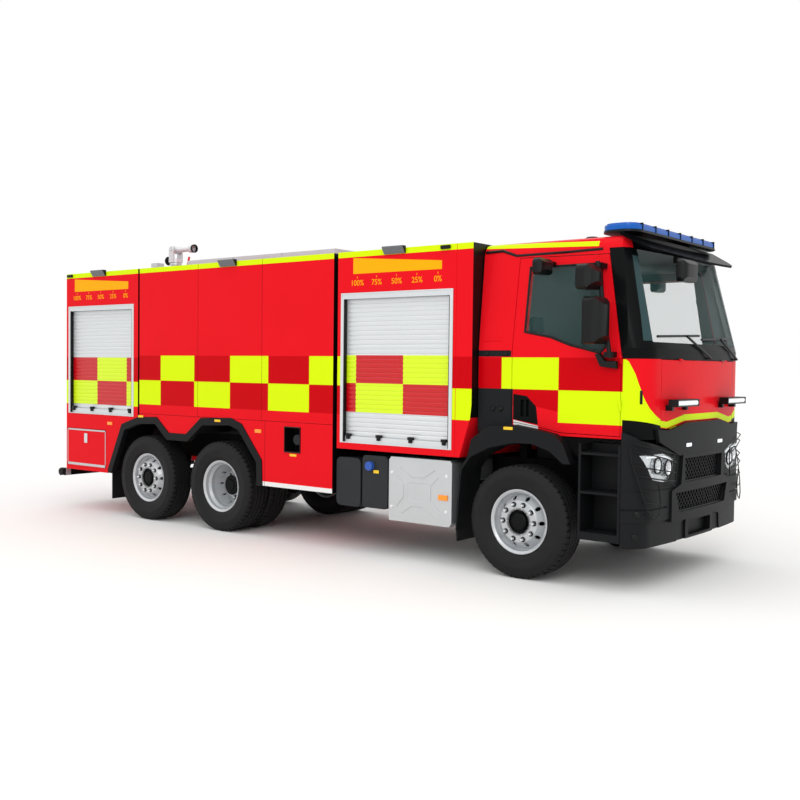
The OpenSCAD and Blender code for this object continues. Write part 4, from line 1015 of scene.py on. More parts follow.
@dataclass
class Wheels:
    """Tyres with block tread, and the nuts of the six wheels."""

    radius: float = TYRE_R
    half_width: float = 0.157
    facets: int = 96
    lugs: int = 54
    lug_ring: float = 0.5
    nuts: int = 10
    nut_ring: float = 0.1675
    axles: tuple[Axle, ...] = (Axle("f", "tyre_f", 0.0, (1.085,), 1.213),
                               Axle("t", "tyre_t", TAG_X, (1.085,), 1.213),
                               Axle("d", "tyres_d", DRIVE_X, (1.085, 0.745), 0.927))

    def profile(self) -> list[Flat]:
        """Draw the section of the carcass, with the shoulders set down for the blocks.

        Returns:
            Radius and distance from the tyre's middle of each corner.
        """
        r, w = self.radius, self.half_width
        half = [(r, 0.0), (r, 0.022), (r - 0.013, 0.024), (r - 0.013, 0.032), (r, 0.034), (r, 0.077),
                (r - 0.013, 0.079), (r - 0.013, 0.090), (r - 0.012, 0.093), (r - 0.014, w - 0.022),
                (r - 0.024, w - 0.011), (r - 0.040, w - 0.006), (r - 0.076, w - 0.002), (r - 0.080, w),
                (r - 0.112, w), (r - 0.118, w - 0.003), (r - 0.175, w - 0.006), (r - 0.196, w - 0.016),
                (r - 0.212, w - 0.028), (0.3055, 0.1185)]
        return [*half, *((a, -b) for a, b in reversed(half[1:]))]

    def block(self) -> Shape:
        """Draw one tread block of a shoulder, 1 mm under the crown and from the ring it is laid on.

        Returns:
            Its shape.
        """
        r, w = self.radius - self.lug_ring - MM, self.half_width
        edge = [(r - 0.018, 0.092), (r, 0.093), (r - 0.002, w - 0.03), (r - 0.014, w - 0.013),
                (r - 0.036, w - 0.005), (r - 0.036, w - 0.012)]
        half_length = 0.0225
        return Shape().prism(edge, -half_length, half_length)

    def tyre(self, axle: Axle, end: str, side: int) -> None:
        """Build the tyres of one wheel, or of a pair of twins.

        Args:
            axle: the axle that it is on.
            end: "l" or "r".
            side: 1 for left, -1 for right.
        """
        key = axle.key + end
        carcass, blocks = Shape(), Shape()
        ring = lay(Tool.RING, "tread_" + key, RUBBER, self.block(), Count=self.lugs, Radius=self.lug_ring)
        pitch = math.tau / self.lugs
        for y in axle.tyres:
            place = facing(side, axle.station, y, self.radius)
            carcass.lathe(self.profile(), self.facets, place)
            for flip, turn in ((0.0, 0.0), (math.pi, pitch / 2)):
                shoulder = ring.copy()
                shoulder.transform(place @ Matrix.Rotation(turn, 4, "Z") @ Matrix.Rotation(flip, 4, "X"))
                blocks.bm.from_mesh(shoulder)
        fit("tyre_carcass_" + key, carcass, RUBBER, "wheel_" + key, [axle.node + end])
        fit("tread_blocks_" + key, blocks, RUBBER, "wheel_" + key)

    def fasten(self, axle: Axle, end: str, side: int) -> None:
        """Build the ring of nuts: a dark collar under a bright cap.

        Args:
            axle: the axle that the wheel is on.
            end: "l" or "r".
            side: 1 for left, -1 for right.
        """
        key = axle.key + end
        upright = Matrix.Identity(4)
        collar = Shape().lathe([(0.0, 0.0), (0.025, 0.0), (0.025, 0.007), (0.020, 0.012), (0.0, 0.012)],
                               12, upright)
        cap = Shape().lathe([(0.0, 0.010), (0.0165, 0.010), (0.016, 0.024), (0.011, 0.032), (0.0, 0.034)],
                            6, upright)
        for name, finish, stamp in (("nut_collars", BLACK, collar), ("nut_caps", CHROME, cap)):
            ring = lay(Tool.RING, f"{name}_{key}", finish, stamp, Count=self.nuts, Radius=self.nut_ring)
            ring.transform(facing(side, axle.station, axle.nut_face, self.radius))
            fit(f"{name}_{key}", ring, finish, "wheel_" + key)

    def build(self) -> None:
        """Build the tyres and nuts of all wheels."""
        for axle in self.axles:
            for end, side in (("l", 1), ("r", -1)):
                self.tyre(axle, end, side)
                self.fasten(axle, end, side)


# stations of the rear and front edge of an opening, and heights of its foot and top
Bay = tuple[float, float, float, float]


class Gauge(NamedTuple):
    """A level gauge as seen on the right side: its wedge, and where its ticks and numbers are."""

    wedge: tuple[Flat, ...]
    stations: tuple[float, ...]
    tick_z: float
    number_z: float


@dataclass
class BodySides:
    """Gauges, shutter latches, seals, markers and edging on both sides of the body modules."""

    bays: tuple[tuple[str, Bay], ...] = (("rear", (-7.104, -5.698, 1.290, 2.722)),
                                         ("front", (-2.194, -0.750, 1.158, 2.728)))
    flap: Bay = (-7.122, -6.278, 0.592, 1.083)
    clips: int = 4
    digit_size: float = 0.082
    foil: float = 0.001
    rear_gauge: Gauge = Gauge(((-6.961, 3.083), (-5.810, 3.009), (-5.810, 2.915), (-6.961, 2.917)),
                              (-6.910, -6.645, -6.386, -6.125, -5.863), 2.891, 2.805)
    front_gauge: Gauge = Gauge(((-2.028, 3.091), (-0.888, 3.006), (-0.888, 2.922), (-2.028, 2.925)),
                               (-1.972, -1.712, -1.451, -1.191, -0.935), 2.887, 2.803)

    def shutter(self, name: str, bay: Bay, side: int) -> None:
        """Build the latches on a shutter's foot and the seals beside its slats.

        Args:
            name: which shutter it is.
            bay: stations of its rear and front edge, and heights of its foot and top.
            side: 1 for left, -1 for right.
        """
        x0, x1, z0, z1 = bay
        margin = 0.10
        stamp = Shape().block((-0.034, -0.012, -0.004), (0.034, 0.022, 0.026), 4)
        stamp.block((-0.019, 0.0, -0.034), (0.019, 0.025, 0.014), 5)
        step = (x1 - x0 - 2 * margin) / (self.clips - 1)
        row = lay(Tool.ROW, f"latches_{name}", BLACK, stamp, Count=self.clips, Step=(step, 0.0, 0.0))
        place = Matrix.Translation(at(x0 + margin, side * (BODY_SIDE - 0.026), z0 + 0.072))
        row.transform(place @ Matrix.Diagonal((1, side, 1, 1)))
        if side < 0:
            row.flip_normals()
        fit(f"latches_{name}", row, BLACK, "chassis")
        seals = Shape()
        low, high = across(side, BODY_SIDE - 0.044, BODY_SIDE - 0.001)
        for edge in (x0 + 0.038, x1 - 0.050):
            seals.block(at(edge, low, z0 + 0.01), at(edge + 0.012, high, z1 - 0.06), 3)
        fit(f"seals_{name}", seals, BLACK, "chassis")

    def gauge(self, name: str, gauge: Gauge, side: int) -> None:
        """Build a level gauge of raised foil: a wedge, its ticks and its numbers.

        Args:
            name: which gauge it is.
            gauge: its drawing.
            side: 1 for left, where it is turned end for end, -1 for right.
        """
        first, last = gauge.stations[0], gauge.stations[-1]
        outline = [(AXLE_X + (x if side < 0 else first + last - x), z) for x, z in gauge.wedge]
        wedge = Shape().prism(outline, *across(side, BODY_SIDE, BODY_SIDE + 2 * self.foil))
        fit(f"gauge_{name}", wedge, GAUGE, "chassis")
        count = len(gauge.stations)
        tick = Shape().block((-0.003, -self.foil, -0.011), (0.003, self.foil, 0.011), 0)
        row = lay(Tool.ROW, f"gauge_ticks_{name}", GAUGE, tick, Count=count,
                  Step=((last - first) / (count - 1), 0.0, 0.0))
        row.transform(Matrix.Translation(at(first, side * (BODY_SIDE + 0.0011), gauge.tick_z)))
        fit(f"gauge_ticks_{name}", row, GAUGE, "chassis")
        ordered = gauge.stations if side < 0 else reversed(gauge.stations)
        turn = Matrix.Rotation(0.0 if side < 0 else math.pi, 4, "Z") @ Matrix.Rotation(math.pi / 2, 4, "X")
        digits = Shape()
        for label, x in zip(("100%", "75%", "50%", "25%", "0%"), ordered):
            letters = bpy.data.curves.new("digits", "FONT")
            letters.body = label
            letters.size = self.digit_size
            letters.align_x = "CENTER"
            letters.extrude = self.foil
            writer = bpy.data.objects.new("digits", letters)
            bpy.context.scene.collection.objects.link(writer)
            word = plain(writer)
            bpy.data.objects.remove(writer)
            word.transform(Matrix.Translation(at(x, side * (BODY_SIDE + 0.0012), gauge.number_z)) @ turn)
            digits.bm.from_mesh(word)
        fit(f"gauge_digits_{name}", digits, GAUGE, "chassis")

    def locker(self, end: str, side: int) -> None:
        """Build the bright edging and the latch of a drop-down locker flap.

        Args:
            end: "left" or "right".
            side: 1 for left, -1 for right.
        """
        x0, x1, z0, z1 = self.flap
        low, high = across(side, BODY_SIDE - 0.001, BODY_SIDE + 0.003)
        edging = Shape()
        for ax, az, bx, bz in ((x0, z0, x1, z0 + 0.034), (x0, z1 - 0.020, x1, z1),
                               (x0, z0, x0 + 0.012, z1), (x1 - 0.012, z0, x1, z1)):
            edging.block(at(ax, low, az), at(bx, high, bz), 1)
        fit(f"locker_edging_{end}", edging, ALUMINIUM, f"{end}_locker")
        low, high = across(side, BODY_SIDE, BODY_SIDE + 0.014)
        latch = Shape().block(at(-6.735, low, 0.902), at(-6.671, high, 1.030), 8)
        fit(f"locker_latch_{end}", latch, CHANNEL, f"{end}_locker")

    def trim(self, end: str, side: int) -> None:
        """Build the small markers on arches and guards, and the seal round the hatch.

        Args:
            end: "left" or "right".
            side: 1 for left, -1 for right.
        """
        markers = Shape()
        for x, y, z in ((-5.533, BODY_SIDE + 0.012, 1.300), (-4.101, BODY_SIDE + 0.012, 1.305),
                        (-0.104, BODY_SIDE, 1.400), (-2.880, BODY_SIDE, 0.974)):
            low, high = across(side, y - 0.004, y + 0.006)
            markers.block(at(x - 0.05, low, z - 0.014), at(x + 0.05, high, z + 0.014), 4)
        fit(f"side_markers_{end}", markers, YELLOW, "chassis")
        rim = Shape().path([at(x, side * (BODY_SIDE + 0.001), z) for x, z in
                            ((-3.010, 1.006), (-2.775, 1.006), (-2.775, 1.281), (-3.010, 1.281))], True)
        bar(f"hatch_seal_{end}", rim, 0.010, BLACK, "chassis")

    def build(self) -> None:
        """Build both sides."""
        for end, side in SIDES.items():
            for name, bay in self.bays:
                self.shutter(f"{name}_{end}", bay, side)
            self.gauge(f"rear_{end}", self.rear_gauge, side)
            self.gauge(f"front_{end}", self.front_gauge, side)
            self.locker(end, side)
            self.trim(end, side)


class Window(NamedTuple):
    """An opening of the bumper that narrows to its foot: half widths and heights."""

    name: str
    width: float
    foot: float
    low: float
    high: float


@dataclass
class FrontEnd:
    """Grilles, headlamps, wire guards, small lamps of the bumper and work lamps of the flap."""

    front: float = 1.285
    half: float = 1.245
    corner: float = 0.26
    tile: float = 0.062
    windows: tuple[Window, ...] = (Window("upper", 0.45, 0.435, 0.942, 1.158),
                                   Window("lower", 0.62, 0.545, 0.678, 0.856))
    lamp_y: float = 0.60
    diodes: int = 12
    diode_step: float = 0.037
    cover_wall: float = 0.003

    def station(self, inset: float) -> Callable[[float], float]:
        """Return the nose's station as a function of the distance from the middle."""
        return lambda y: nose(y, self.front - inset, self.half, self.corner)

    def lattice(self, window: Window) -> Shape:
        """Fill a window with a diamond lattice that follows the nose.

        Args:
            window: the opening.

        Returns:
            The lattice, cut to the window.
        """
        reach = 0.72 * self.tile
        stamp = Shape()
        for turn in (45, -45):
            stamp.block((-reach, -0.0045, -0.008), (reach, 0.0045, 0.008), 0,
                        Matrix.Rotation(math.radians(turn), 4, "Z"))
        low, high = window.low, window.high
        columns, rows = int(2 * window.width / self.tile) + 3, int((high - low) / self.tile) + 3
        net = lay(Tool.GRID, window.name + "_lattice", GRAINED, stamp, Across=columns, Up=rows,
                  Width=(columns - 1) * self.tile, Height=(rows - 1) * self.tile)
        # the grid is laid flat, so its X goes across the truck and its Y goes up
        net.transform(Matrix(((0, 0, 1, 0), (1, 0, 0, 0), (0, 1, 0, (low + high) / 2), (0, 0, 0, 1))))
        shape = Shape()
        shape.bm.from_mesh(net)
        slope = Vector((0, high - low, window.foot - window.width))
        for spot, way in (((0, 0, low), (0, 0, -1)), ((0, 0, high), (0, 0, 1)),
                          ((0, window.width, high), slope),
                          ((0, -window.width, high), Vector((0, -slope.y, slope.z)))):
            bmesh.ops.bisect_plane(shape.bm, geom=[*shape.bm.verts, *shape.bm.edges, *shape.bm.faces],
                                   plane_co=spot, plane_no=way, clear_outer=True)
        where = self.station(0.030)
        for v in shape.bm.verts:
            v.co.x += AXLE_X + where(v.co.y)
        return shape

    def grilles(self) -> None:
        """Build both lattices with their borders, in place of the plain bars, and the screen behind."""
        for window, stands_for in zip(self.windows, (["grille"], [])):
            fit(window.name + "_lattice", self.lattice(window), GRAINED, "chassis",
                stands_for)
        screen = Shape().block(at(1.185, -0.66, 0.66), at(1.190, 0.66, 1.17), 0)
        fit("radiator_screen", screen, BLACK, "chassis")
        where = self.station(0.020)
        count = 12
        for name, top, foot, low, high in self.windows:
            line = [(-top + 2 * top * i / count, high) for i in range(count + 1)]
            line += [(foot - 2 * foot * i / count, low) for i in range(count + 1)]
            rim = Shape().path([at(where(y), y, z) for y, z in line], True)
            bar(f"{name}_grille_rim", rim, 0.009, BLACK, "chassis")

    def headlamp(self, end: str, side: int) -> None:
        """Build a headlamp: two bright bowls, a light strip and a clear cover.

        Args:
            end: "left" or "right".
            side: 1 for left, -1 for right.
        """
        bowls, rims = Shape(), Shape()
        for x, y, z in ((1.236, 0.745, 1.090), (1.214, 0.920, 1.120)):
            place = Matrix.Translation(at(x, side * y, z)) @ Matrix.Rotation(math.pi / 2, 4, "Y")
            bowls.lathe([(0.0, -0.012), (0.03, -0.010), (0.055, 0.004), (0.068, 0.022), (0.070, 0.022),
                         (0.057, 0.001), (0.0, -0.016)], 32, place)
            rims.lathe([(0.066, 0.018), (0.078, 0.018), (0.078, 0.028), (0.070, 0.030)], 32, place)
            bowls.lathe([(0.0, -0.011), (0.019, -0.011), (0.017, 0.012), (0.0, 0.016)], 16, place)
        fit(f"lamp_bowls_{end}", bowls, CHROME, "chassis")
        fit(f"lamp_rims_{end}", rims, BLACK, "chassis")
        where = self.station(0.012)
        strip = Shape().path([at(where(y) - 0.002, side * y, z) for y, z in
                              ((0.66, 1.150), (0.80, 1.192), (0.95, 1.196), (1.09, 1.200))])
        bar(f"day_light_{end}", strip, 0.009, LED_WHITE, "chassis")
        edge = [(1.144, 1.212), (1.008, 1.004), (0.762, 0.964), (0.644, 1.044), (0.626, 1.164),
                (0.802, 1.217)]
        cover = Shape().sheet([(side * y, z) for y, z in edge], self.station(0.013))
        bmesh.ops.recalc_face_normals(cover.bm, faces=cover.bm.faces[:])
        piece = fit(f"lamp_cover_{end}", cover, CLEAR, "chassis")
        wall = piece.modifiers.new("wall", "SOLIDIFY")
        wall.thickness = self.cover_wall
        wall.offset = 0.0

    def guard(self, end: str, side: int) -> None:
        """Build the wire guard over a headlamp: its rim, its rungs and the feet on the bumper.

        Args:
            end: "left" or "right".
            side: 1 for left, -1 for right.
        """
        rim = [(1.117, 1.253, 1.332), (1.218, 1.164, 1.300), (1.281, 0.856, 1.247), (1.295, 0.651, 1.201),
               (1.295, 0.664, 0.928), (1.272, 0.969, 0.957), (1.276, 0.929, 0.786), (1.273, 0.959, 0.688),
               (1.266, 1.034, 0.649), (1.249, 1.103, 0.707), (1.224, 1.155, 0.826), (1.184, 1.204, 1.003),
               (1.138, 1.241, 1.167)]
        rungs = [((1.126, 1.248, 1.260), (1.215, 1.160, 1.240), (1.283, 0.850, 1.180), (1.296, 0.655, 1.135)),
                 ((1.152, 1.231, 1.135), (1.225, 1.130, 1.112), (1.282, 0.860, 1.072), (1.295, 0.658, 1.045)),
                 ((1.175, 1.213, 1.052), (1.235, 1.115, 1.030), (1.280, 0.880, 0.990), (1.294, 0.661, 0.970)),
                 ((1.204, 1.181, 0.920), (1.245, 1.090, 0.905), (1.274, 0.966, 0.896)),
                 ((1.223, 1.155, 0.820), (1.255, 1.060, 0.800), (1.277, 0.929, 0.786))]
        wires = Shape().path([at(x, side * y, z) for x, y, z in rim], True)
        for rung in rungs:
            wires.path([at(x, side * y, z) for x, y, z in rung])
        where = self.station(0.010)
        for y, z in ((1.164, 1.300), (0.664, 0.928), (1.103, 0.707), (0.651, 1.201)):
            wires.path([at(where(y) - 0.03, side * (y - 0.01), z), at(where(y) + 0.022, side * y, z)])
        bar(f"lamp_guard_{end}", wires, 0.0055, BLACK, "chassis")

    def small_parts(self, end: str, side: int) -> None:
        """Build the white lamp in the lip, the bumper's round caps and the corner lamp.

        Args:
            end: "left" or "right".
            side: 1 for left, -1 for right.
        """
        middle, half = side * 0.379, 0.055
        lamp = Shape().block(at(1.292, middle - half, 1.262), at(1.303, middle + half, 1.296), 5)
        fit(f"lip_lamp_{end}", lamp, LED_WHITE, "chassis")
        caps = Shape()
        turn = Matrix.Rotation(side * math.radians(48), 4, "Z") @ Matrix.Rotation(math.pi / 2, 4, "Y")
        for y, z, inset in ((1.168, 0.706, 0.0), (1.166, 0.503, 0.022)):
            place = Matrix.Translation(at(self.station(inset)(y), side * y, z))
            caps.lathe([(0.0, -0.01), (0.026, -0.01), (0.026, 0.006), (0.020, 0.010), (0.0, 0.010)], 20,
                       place @ turn)
        fit(f"bumper_caps_{end}", caps, BLACK, "chassis")
        place = Matrix.Translation(at(1.142, side * 1.085, 1.72))
        turn = Matrix.Rotation(side * math.radians(42), 4, "Z")
        lamp = Shape().block((-0.010, -0.012, -0.06), (0.014, 0.012, 0.06), 4, place @ turn)
        fit(f"corner_lamp_{end}", lamp, BLACK, "chassis")

    def work_lamp(self, end: str, side: int) -> None:
        """Build the window and the row of diodes of a work lamp on the flap.

        Args:
            end: "left" or "right".
            side: 1 for left, -1 for right.
        """
        y, face = side * self.lamp_y, 1.3745
        window = Shape().block(at(1.3715, y - 0.222, 1.648), at(face, y + 0.222, 1.690), 0)
        fit(f"work_window_{end}", window, CHROME, "flap")
        ahead = Matrix.Rotation(math.pi / 2, 4, "Y")
        diode = Shape().lathe([(0.0, -0.001), (0.016, -0.001), (0.013, 0.0035), (0.0, 0.0045)], 10, ahead)
        row = lay(Tool.ROW, f"work_diodes_{end}", LED_WHITE, diode, Count=self.diodes,
                  Step=(0.0, self.diode_step, 0.0))
        row.transform(Matrix.Translation(at(face, y - self.diode_step * (self.diodes - 1) / 2, 1.669)))
        fit(f"work_diodes_{end}", row, LED_WHITE, "flap")

    def build(self) -> None:
        """Build the front end."""
        self.grilles()
        for end, side in SIDES.items():
            self.work_lamp(end, side)
            self.headlamp(end, side)
            self.guard(end, side)
            self.small_parts(end, side)


@dataclass
class CabFittings:
    """Wipers, beacon ribs, drip rails, seals, mirror feet and buffers of the cab."""

    lean: float = math.tan(math.radians(15))
    side_lean: float = 0.085 / 0.885
    screen_front: float = 1.265
    screen_corner: float = 0.23
    roof_edge: float = 3.035
    ribs: int = 7
    rib_step: float = 0.28

    def wall(self, z: float) -> float:
        """Return the distance of the cab's side from the middle at a height."""
        return CAB_SIDE - max(z - BELT_Z, 0.0) * self.side_lean

    def screen(self, y: float, z: float) -> float:
        """Return the station of the windscreen."""
        return nose(y, self.screen_front, CAB_SIDE, self.screen_corner) - max(z - BELT_Z, 0.0) * self.lean

    def wipers(self) -> None:
        """Build two wipers: a bent arm on its spindle and a long blade."""
        arms, blades = Shape(), Shape()
        count = 8
        for foot, knee, start, end in (((0.12, 2.075), (-0.36, 2.270), (-0.92, 2.255), (-0.06, 2.285)),
                                       ((0.90, 2.075), (0.48, 2.265), (-0.02, 2.250), (0.80, 2.280))):
            chain = [(self.screen(*foot) + 0.004, *foot), (self.screen(*foot) + 0.030, *foot),
                     (self.screen(*knee) + 0.024, *knee)]
            arms.path([at(*p) for p in chain])
            line = [(start[0] + (end[0] - start[0]) * i / count, start[1] + (end[1] - start[1]) * i / count)
                    for i in range(count + 1)]
            blades.path([at(self.screen(y, z) + 0.012, y, z) for y, z in line])
        bar("wiper_arms", arms, 0.012, BLACK, "chassis", ["wipers"])
        bar("wiper_blades", blades, 0.011, BLACK, "chassis")

    def side(self, end: str, side: int) -> None:
        """Build the drip rail, the window seal, the mirror's foot and the buffers of one side.

        Args:
            end: "left" or "right".
            side: 1 for left, -1 for right.
        """
        rail = [(-0.495, 3.072), (-0.306, 3.078), (-0.152, 3.022), (0.40, 3.026), (0.745, 3.034)]
        path = Shape().path([at(x, side * (self.wall(min(z, self.roof_edge)) - 0.004), z) for x, z in rail])
        bar(f"drip_rail_{end}", path, 0.014, BLACK, "chassis")
        glass = [(0.010, 2.905), (-0.008, 2.300), (0.269, 2.251), (0.476, 2.177), (0.776, 2.105),
                 (0.828, 2.160), (0.738, 2.905)]
        path = Shape().path([at(x, side * (self.wall(z) - 0.003), z) for x, z in glass], True)
        bar(f"window_seal_{end}", path, 0.013, BLACK, f"{end}_door")
        outline = [(0.745, 2.095), (0.80, 2.10), (0.85, 2.035), (0.955, 2.035), (0.962, 1.965), (0.80, 1.985)]
        foot = Shape().prism([(AXLE_X + x, z) for x, z in outline],
                             *across(side, CAB_SIDE + 0.001, CAB_SIDE + 0.055))
        bmesh.ops.bevel(foot.bm, geom=foot.bm.edges[:], offset=0.010, segments=2, profile=0.5, affect="EDGES")
        fit(f"mirror_foot_{end}", foot, BLACK, f"{end}_door")
        buffers = Shape()
        for x, z in ((-0.416, 2.098), (-0.204, 2.098), (-0.341, 1.575), (-0.251, 1.577)):
            buffers.lathe([(0.0, -0.004), (0.024, -0.004), (0.024, 0.010), (0.018, 0.016), (0.0, 0.016)], 20,
                          facing(side, x, CAB_SIDE, z))
        fit(f"cab_buffers_{end}", buffers, BLACK, "chassis")

    def beacons(self) -> None:
        """Build the ribs that part the light bar's lens into its lamps."""
        rib = Shape().block((-0.1865, -0.004, -0.033), (0.1865, 0.004, 0.0325), 0)
        row = lay(Tool.ROW, "beacon_ribs", BLACK, rib, Count=self.ribs, Step=(0.0, self.rib_step, 0.0))
        row.transform(Matrix.Translation(at(0.835, -self.rib_step * (self.ribs - 1) / 2, 3.239)))
        fit("beacon_ribs", row, BLACK, "chassis")

    def build(self) -> None:
        """Build the cab's fittings."""
        self.wipers()
        self.beacons()
        for end, side in SIDES.items():
            self.side(end, side)


@dataclass
class ChassisFittings:
    """Fixings of the exhaust cover, sleeves of the rear bar and the prop of the monitor."""

    cover_face: float = 1.210

    def cover(self) -> None:
        """Build the bolts and the amber lamp on the exhaust cover, and the yellow plate on the tank."""
        bolts = Shape()
        for x, z in ((-1.513, 0.885), (-0.830, 0.890), (-1.515, 0.535), (-0.832, 0.538)):
            bolts.lathe([(0.0, -0.002), (0.020, -0.002), (0.018, 0.006), (0.010, 0.008), (0.010, 0.014),
                         (0.0, 0.014)], 12, facing(-1, x, self.cover_face, z))
        fit("exhaust_bolts", bolts, CHROME, "chassis")
        plate = Shape().block(at(-1.750, -TANK_SIDE - 0.005, 0.858), at(-1.680, 0.002 - TANK_SIDE, 0.890), 2)
        fit("tank_plate", plate, YELLOW, "chassis")
        lamp = Shape().block(at(-0.925, -self.cover_face - 0.014, 0.650),
                             at(-0.812, 0.004 - self.cover_face, 0.704), 5)
        fit("exhaust_side_lamp", lamp, AMBER, "chassis")

    def prop(self) -> None:
        """Build the bright sleeves of the rear bar and the red prop under the monitor's barrel."""
        sleeves = Shape()
        for side in SIDES.values():
            low, high = across(side, 1.09, 1.175)
            sleeves.block(at(-7.3795, low, 0.417), at(-7.277, high, 0.523), 12)
        fit("bar_sleeves", sleeves, ALUMINIUM, "chassis")
        post = Shape().path([at(-6.19, 0.0, 3.20), at(-6.115, 0.0, 3.452)])
        bar("monitor_prop", post, 0.014, RED, "chassis")

    def build(self) -> None:
        """Build the fittings of the chassis."""
        self.cover()
        self.prop()


@dataclass
class Seats:
    """Two padded seats on their bases, in place of the plain CAD solids."""

    offset: float = 0.56
    post_offset: float = 0.07
    edge: float = 0.03
    swell_mm: float = 16.0
    voxel: float = 0.008
    pressure: float = 4.0
    frames: int = 20

    def pad(self, name: str, outline: Sequence[Flat], half: float, y: float) -> None:
        """Build one crowned pad from its side outline.

        Args:
            name: name of the pad.
            outline: station and height of the corners, drawn a little small.
            half: half its width.
            y: its middle.
        """
        shape = Shape().prism([(AXLE_X + x, z) for x, z in outline], y - half, y + half)
        bmesh.ops.bevel(shape.bm, geom=shape.bm.edges[:], offset=self.edge, segments=3, profile=0.5,
                        affect="EDGES")
        piece = fit(name, shape.mesh(name, 80), CLOTH, "chassis", ["seats"])
        skin = piece.modifiers.new("skin", "REMESH")
        skin.mode = "VOXEL"
        skin.voxel_size = self.voxel
        self.settle(piece)

    def settle(self, piece: bpy.types.Object) -> None:
        """Turn the remeshed pad into a plain mesh and let it swell as filled cloth.

        Args:
            piece: the pad.
        """
        mesh = plain(piece)
        piece.modifiers.clear()
        piece.data = mesh
        rest = [v.co.copy() for v in mesh.vertices]
        cloth = piece.modifiers.new("filling", "CLOTH")
        cloth.settings.use_pressure = True
        cloth.settings.uniform_pressure_force = self.pressure
        cloth.settings.effector_weights.gravity = 0.0
        scene = bpy.context.scene
        for step in range(1, self.frames + 1):
            scene.frame_set(step)
        mesh = plain(piece)
        piece.modifiers.clear()
        piece.data = mesh
        scene.frame_set(1)
        for vertex, start in zip(mesh.vertices, rest):
            moved = vertex.co - start
            if moved.length > self.swell_mm * MM:
                vertex.co = start + moved * (self.swell_mm * MM / moved.length)
        mesh.polygons.foreach_set("use_smooth", [True] * len(mesh.polygons))

    def build(self) -> None:
        """Build both seats."""
        places = {end: side * self.offset for end, side in SIDES.items()}
        bases = Shape()
        for y in places.values():
            bases.block(at(-0.11, y - 0.19, 1.400), at(0.27, y + 0.19, 1.640), 20)
            for post in (y - self.post_offset, y + self.post_offset):
                bases.block(at(-0.222, post - 0.008, 2.25), at(-0.206, post + 0.008, 2.34), 3)
        fit("seat_bases", bases, DASH, "chassis", ["seats"])
        for end, y in places.items():
            self.pad(f"seat_cushion_{end}", [(-0.165, 1.655), (0.32, 1.655), (0.345, 1.69), (0.335, 1.74),
                                             (0.295, 1.757), (-0.06, 1.742), (-0.155, 1.742)], 0.235, y)
            self.pad(f"seat_back_{end}", [(-0.20, 1.765), (-0.09, 1.775), (-0.16, 2.255), (-0.19, 2.285),
                                          (-0.235, 2.275), (-0.23, 1.775)], 0.225, y)
            self.pad(f"head_rest_{end}", [(-0.242, 2.315), (-0.185, 2.308), (-0.198, 2.455),
                                          (-0.215, 2.475), (-0.248, 2.462)], 0.118, y)


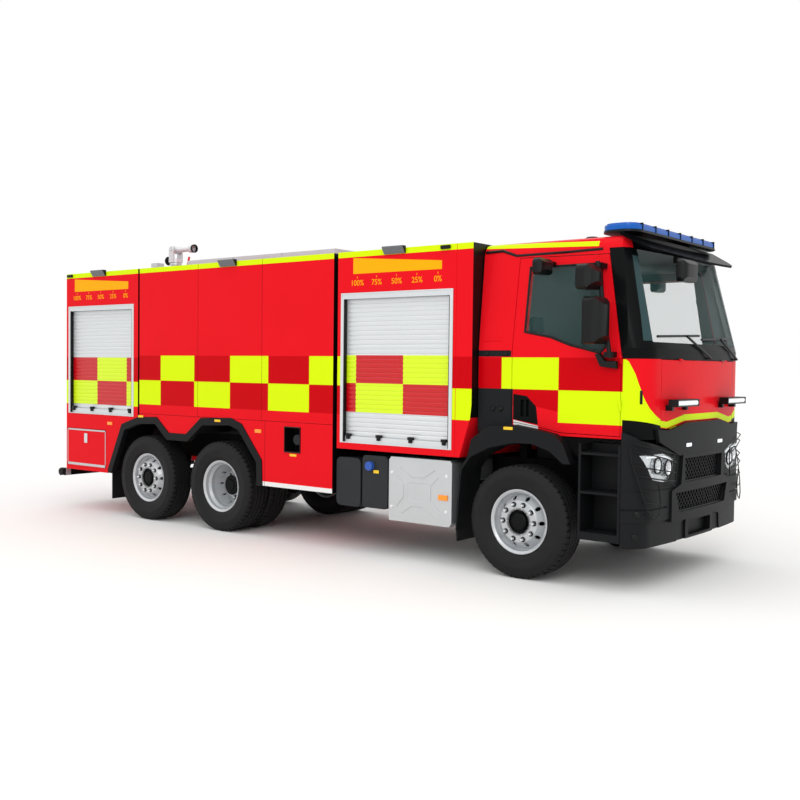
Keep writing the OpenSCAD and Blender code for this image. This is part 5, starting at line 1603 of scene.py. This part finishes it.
@dataclass
class Studio:
    """A pale floor, soft light and a camera at eye height, ahead of the truck on its right."""

    eye: tuple[float, float, float] = (7.971, -9.3504, 1.9652)
    yaw: float = 128.143
    pitch: float = -1.879
    roll: float = 0.644
    focal_mm: float = 45.91
    sensor_mm: float = 36.0
    sight: float = 900.0
    sky_strength: float = 0.64
    sun_strength: float = 1.5
    sun_spread: float = 120.0
    sun_lean: Flat = (18.0, 2.0)
    key_place: tuple[float, float, float] = (10.0, -12.0, 9.0)
    key_target: tuple[float, float, float] = (0.5, 0.0, 1.4)
    key_size: float = 7.0
    key_watts: float = 450.0
    floor_half: float = 400.0

    def camera(self) -> None:
        """Place the camera."""
        yaw, pitch, roll = (math.radians(a) for a in (self.yaw, self.pitch, self.roll))
        ahead = Vector((math.cos(yaw) * math.cos(pitch), math.sin(yaw) * math.cos(pitch), math.sin(pitch)))
        right = ahead.cross(Vector((0, 0, 1))).normalized()
        up = right.cross(ahead)
        right, up = (right * math.cos(roll) + up * math.sin(roll),
                     up * math.cos(roll) - right * math.sin(roll))
        lens = bpy.data.cameras.new("camera")
        lens.lens = self.focal_mm
        lens.sensor_width = self.sensor_mm
        lens.clip_end = self.sight
        camera = bpy.data.objects.new("camera", lens)
        turn = Matrix((right, up, -ahead)).transposed().to_4x4()
        camera.matrix_world = Matrix.Translation(self.eye) @ turn
        bpy.context.scene.collection.objects.link(camera)
        bpy.context.scene.camera = camera

    def key_light(self) -> None:
        """Place one large soft light ahead of the truck on its right, aimed at the cab."""
        lamp = bpy.data.lights.new("key", "AREA")
        lamp.shape = "DISK"
        lamp.size = self.key_size
        lamp.energy = self.key_watts
        piece = bpy.data.objects.new("key", lamp)
        place, target = Vector(self.key_place), Vector(self.key_target)
        turn = (target - place).to_track_quat("-Z", "Y").to_matrix().to_4x4()
        piece.matrix_world = Matrix.Translation(place) @ turn
        bpy.context.scene.collection.objects.link(piece)

    def sun(self) -> None:
        """Light floor and truck evenly from a wide soft sky above."""
        lamp = bpy.data.lights.new("overcast", "SUN")
        lamp.energy = self.sun_strength
        lamp.angle = math.radians(self.sun_spread)
        piece = bpy.data.objects.new("overcast", lamp)
        piece.rotation_euler = (*(math.radians(a) for a in self.sun_lean), 0.0)
        bpy.context.scene.collection.objects.link(piece)

    def floor(self) -> None:
        """Lay a pale matt floor."""
        shape = Shape()
        corners = [shape.bm.verts.new((x * self.floor_half, y * self.floor_half, -MM))
                   for x, y in ((-1, -1), (1, -1), (1, 1), (-1, 1))]
        shape.bm.faces.new(corners)
        # painted studio floor: near white and matt, so the truck's shadow shows softly
        paint = Finish("studio_floor_paint", "#F5F5F4", 0.9, drift=0.0, grain_depth_mm=0.0)
        ground = bpy.data.objects.new("studio_floor", shape.mesh("studio_floor"))
        ground.data.materials.append(paint.material())
        bpy.context.scene.collection.objects.link(ground)

    def world(self) -> None:
        """Give a white backdrop to the eye and to reflections, and softer light to the rest."""
        sky = bpy.data.worlds.new("studio_sky")
        sky.use_nodes = True
        tree = sky.node_tree
        tree.nodes.clear()
        path = add(tree, "ShaderNodeLightPath").outputs
        camera, glossy, through = (Field(tree, path[f"Is {kind} Ray"])
                                   for kind in ("Camera", "Glossy", "Transmission"))
        seen = camera.either(glossy).either(through)
        soft, white = (add(tree, "ShaderNodeBackground",
                           {"Color": (1, 1, 1, 1), "Strength": strength}).outputs[0]
                       for strength in (self.sky_strength, 1.0))
        mix = add(tree, "ShaderNodeMixShader", {0: seen, 1: soft, 2: white}).outputs[0]
        add(tree, "ShaderNodeOutputWorld", {0: mix})
        bpy.context.scene.world = sky

    def build(self) -> None:
        """Set the stage."""
        self.floor()
        self.world()
        self.sun()
        self.key_light()
        self.camera()
        bpy.context.scene.view_settings.view_transform = "Standard"


def main() -> None:
    """Build the sub-assemblies in order."""
    logging.basicConfig(level=logging.INFO, format="%(message)s")
    for part in (Livery().dress, Wheels().build, BodySides().build, FrontEnd().build, CabFittings().build,
                 ChassisFittings().build, Seats().build, Studio().build):
        part()


if __name__ == "__main__":
    main()
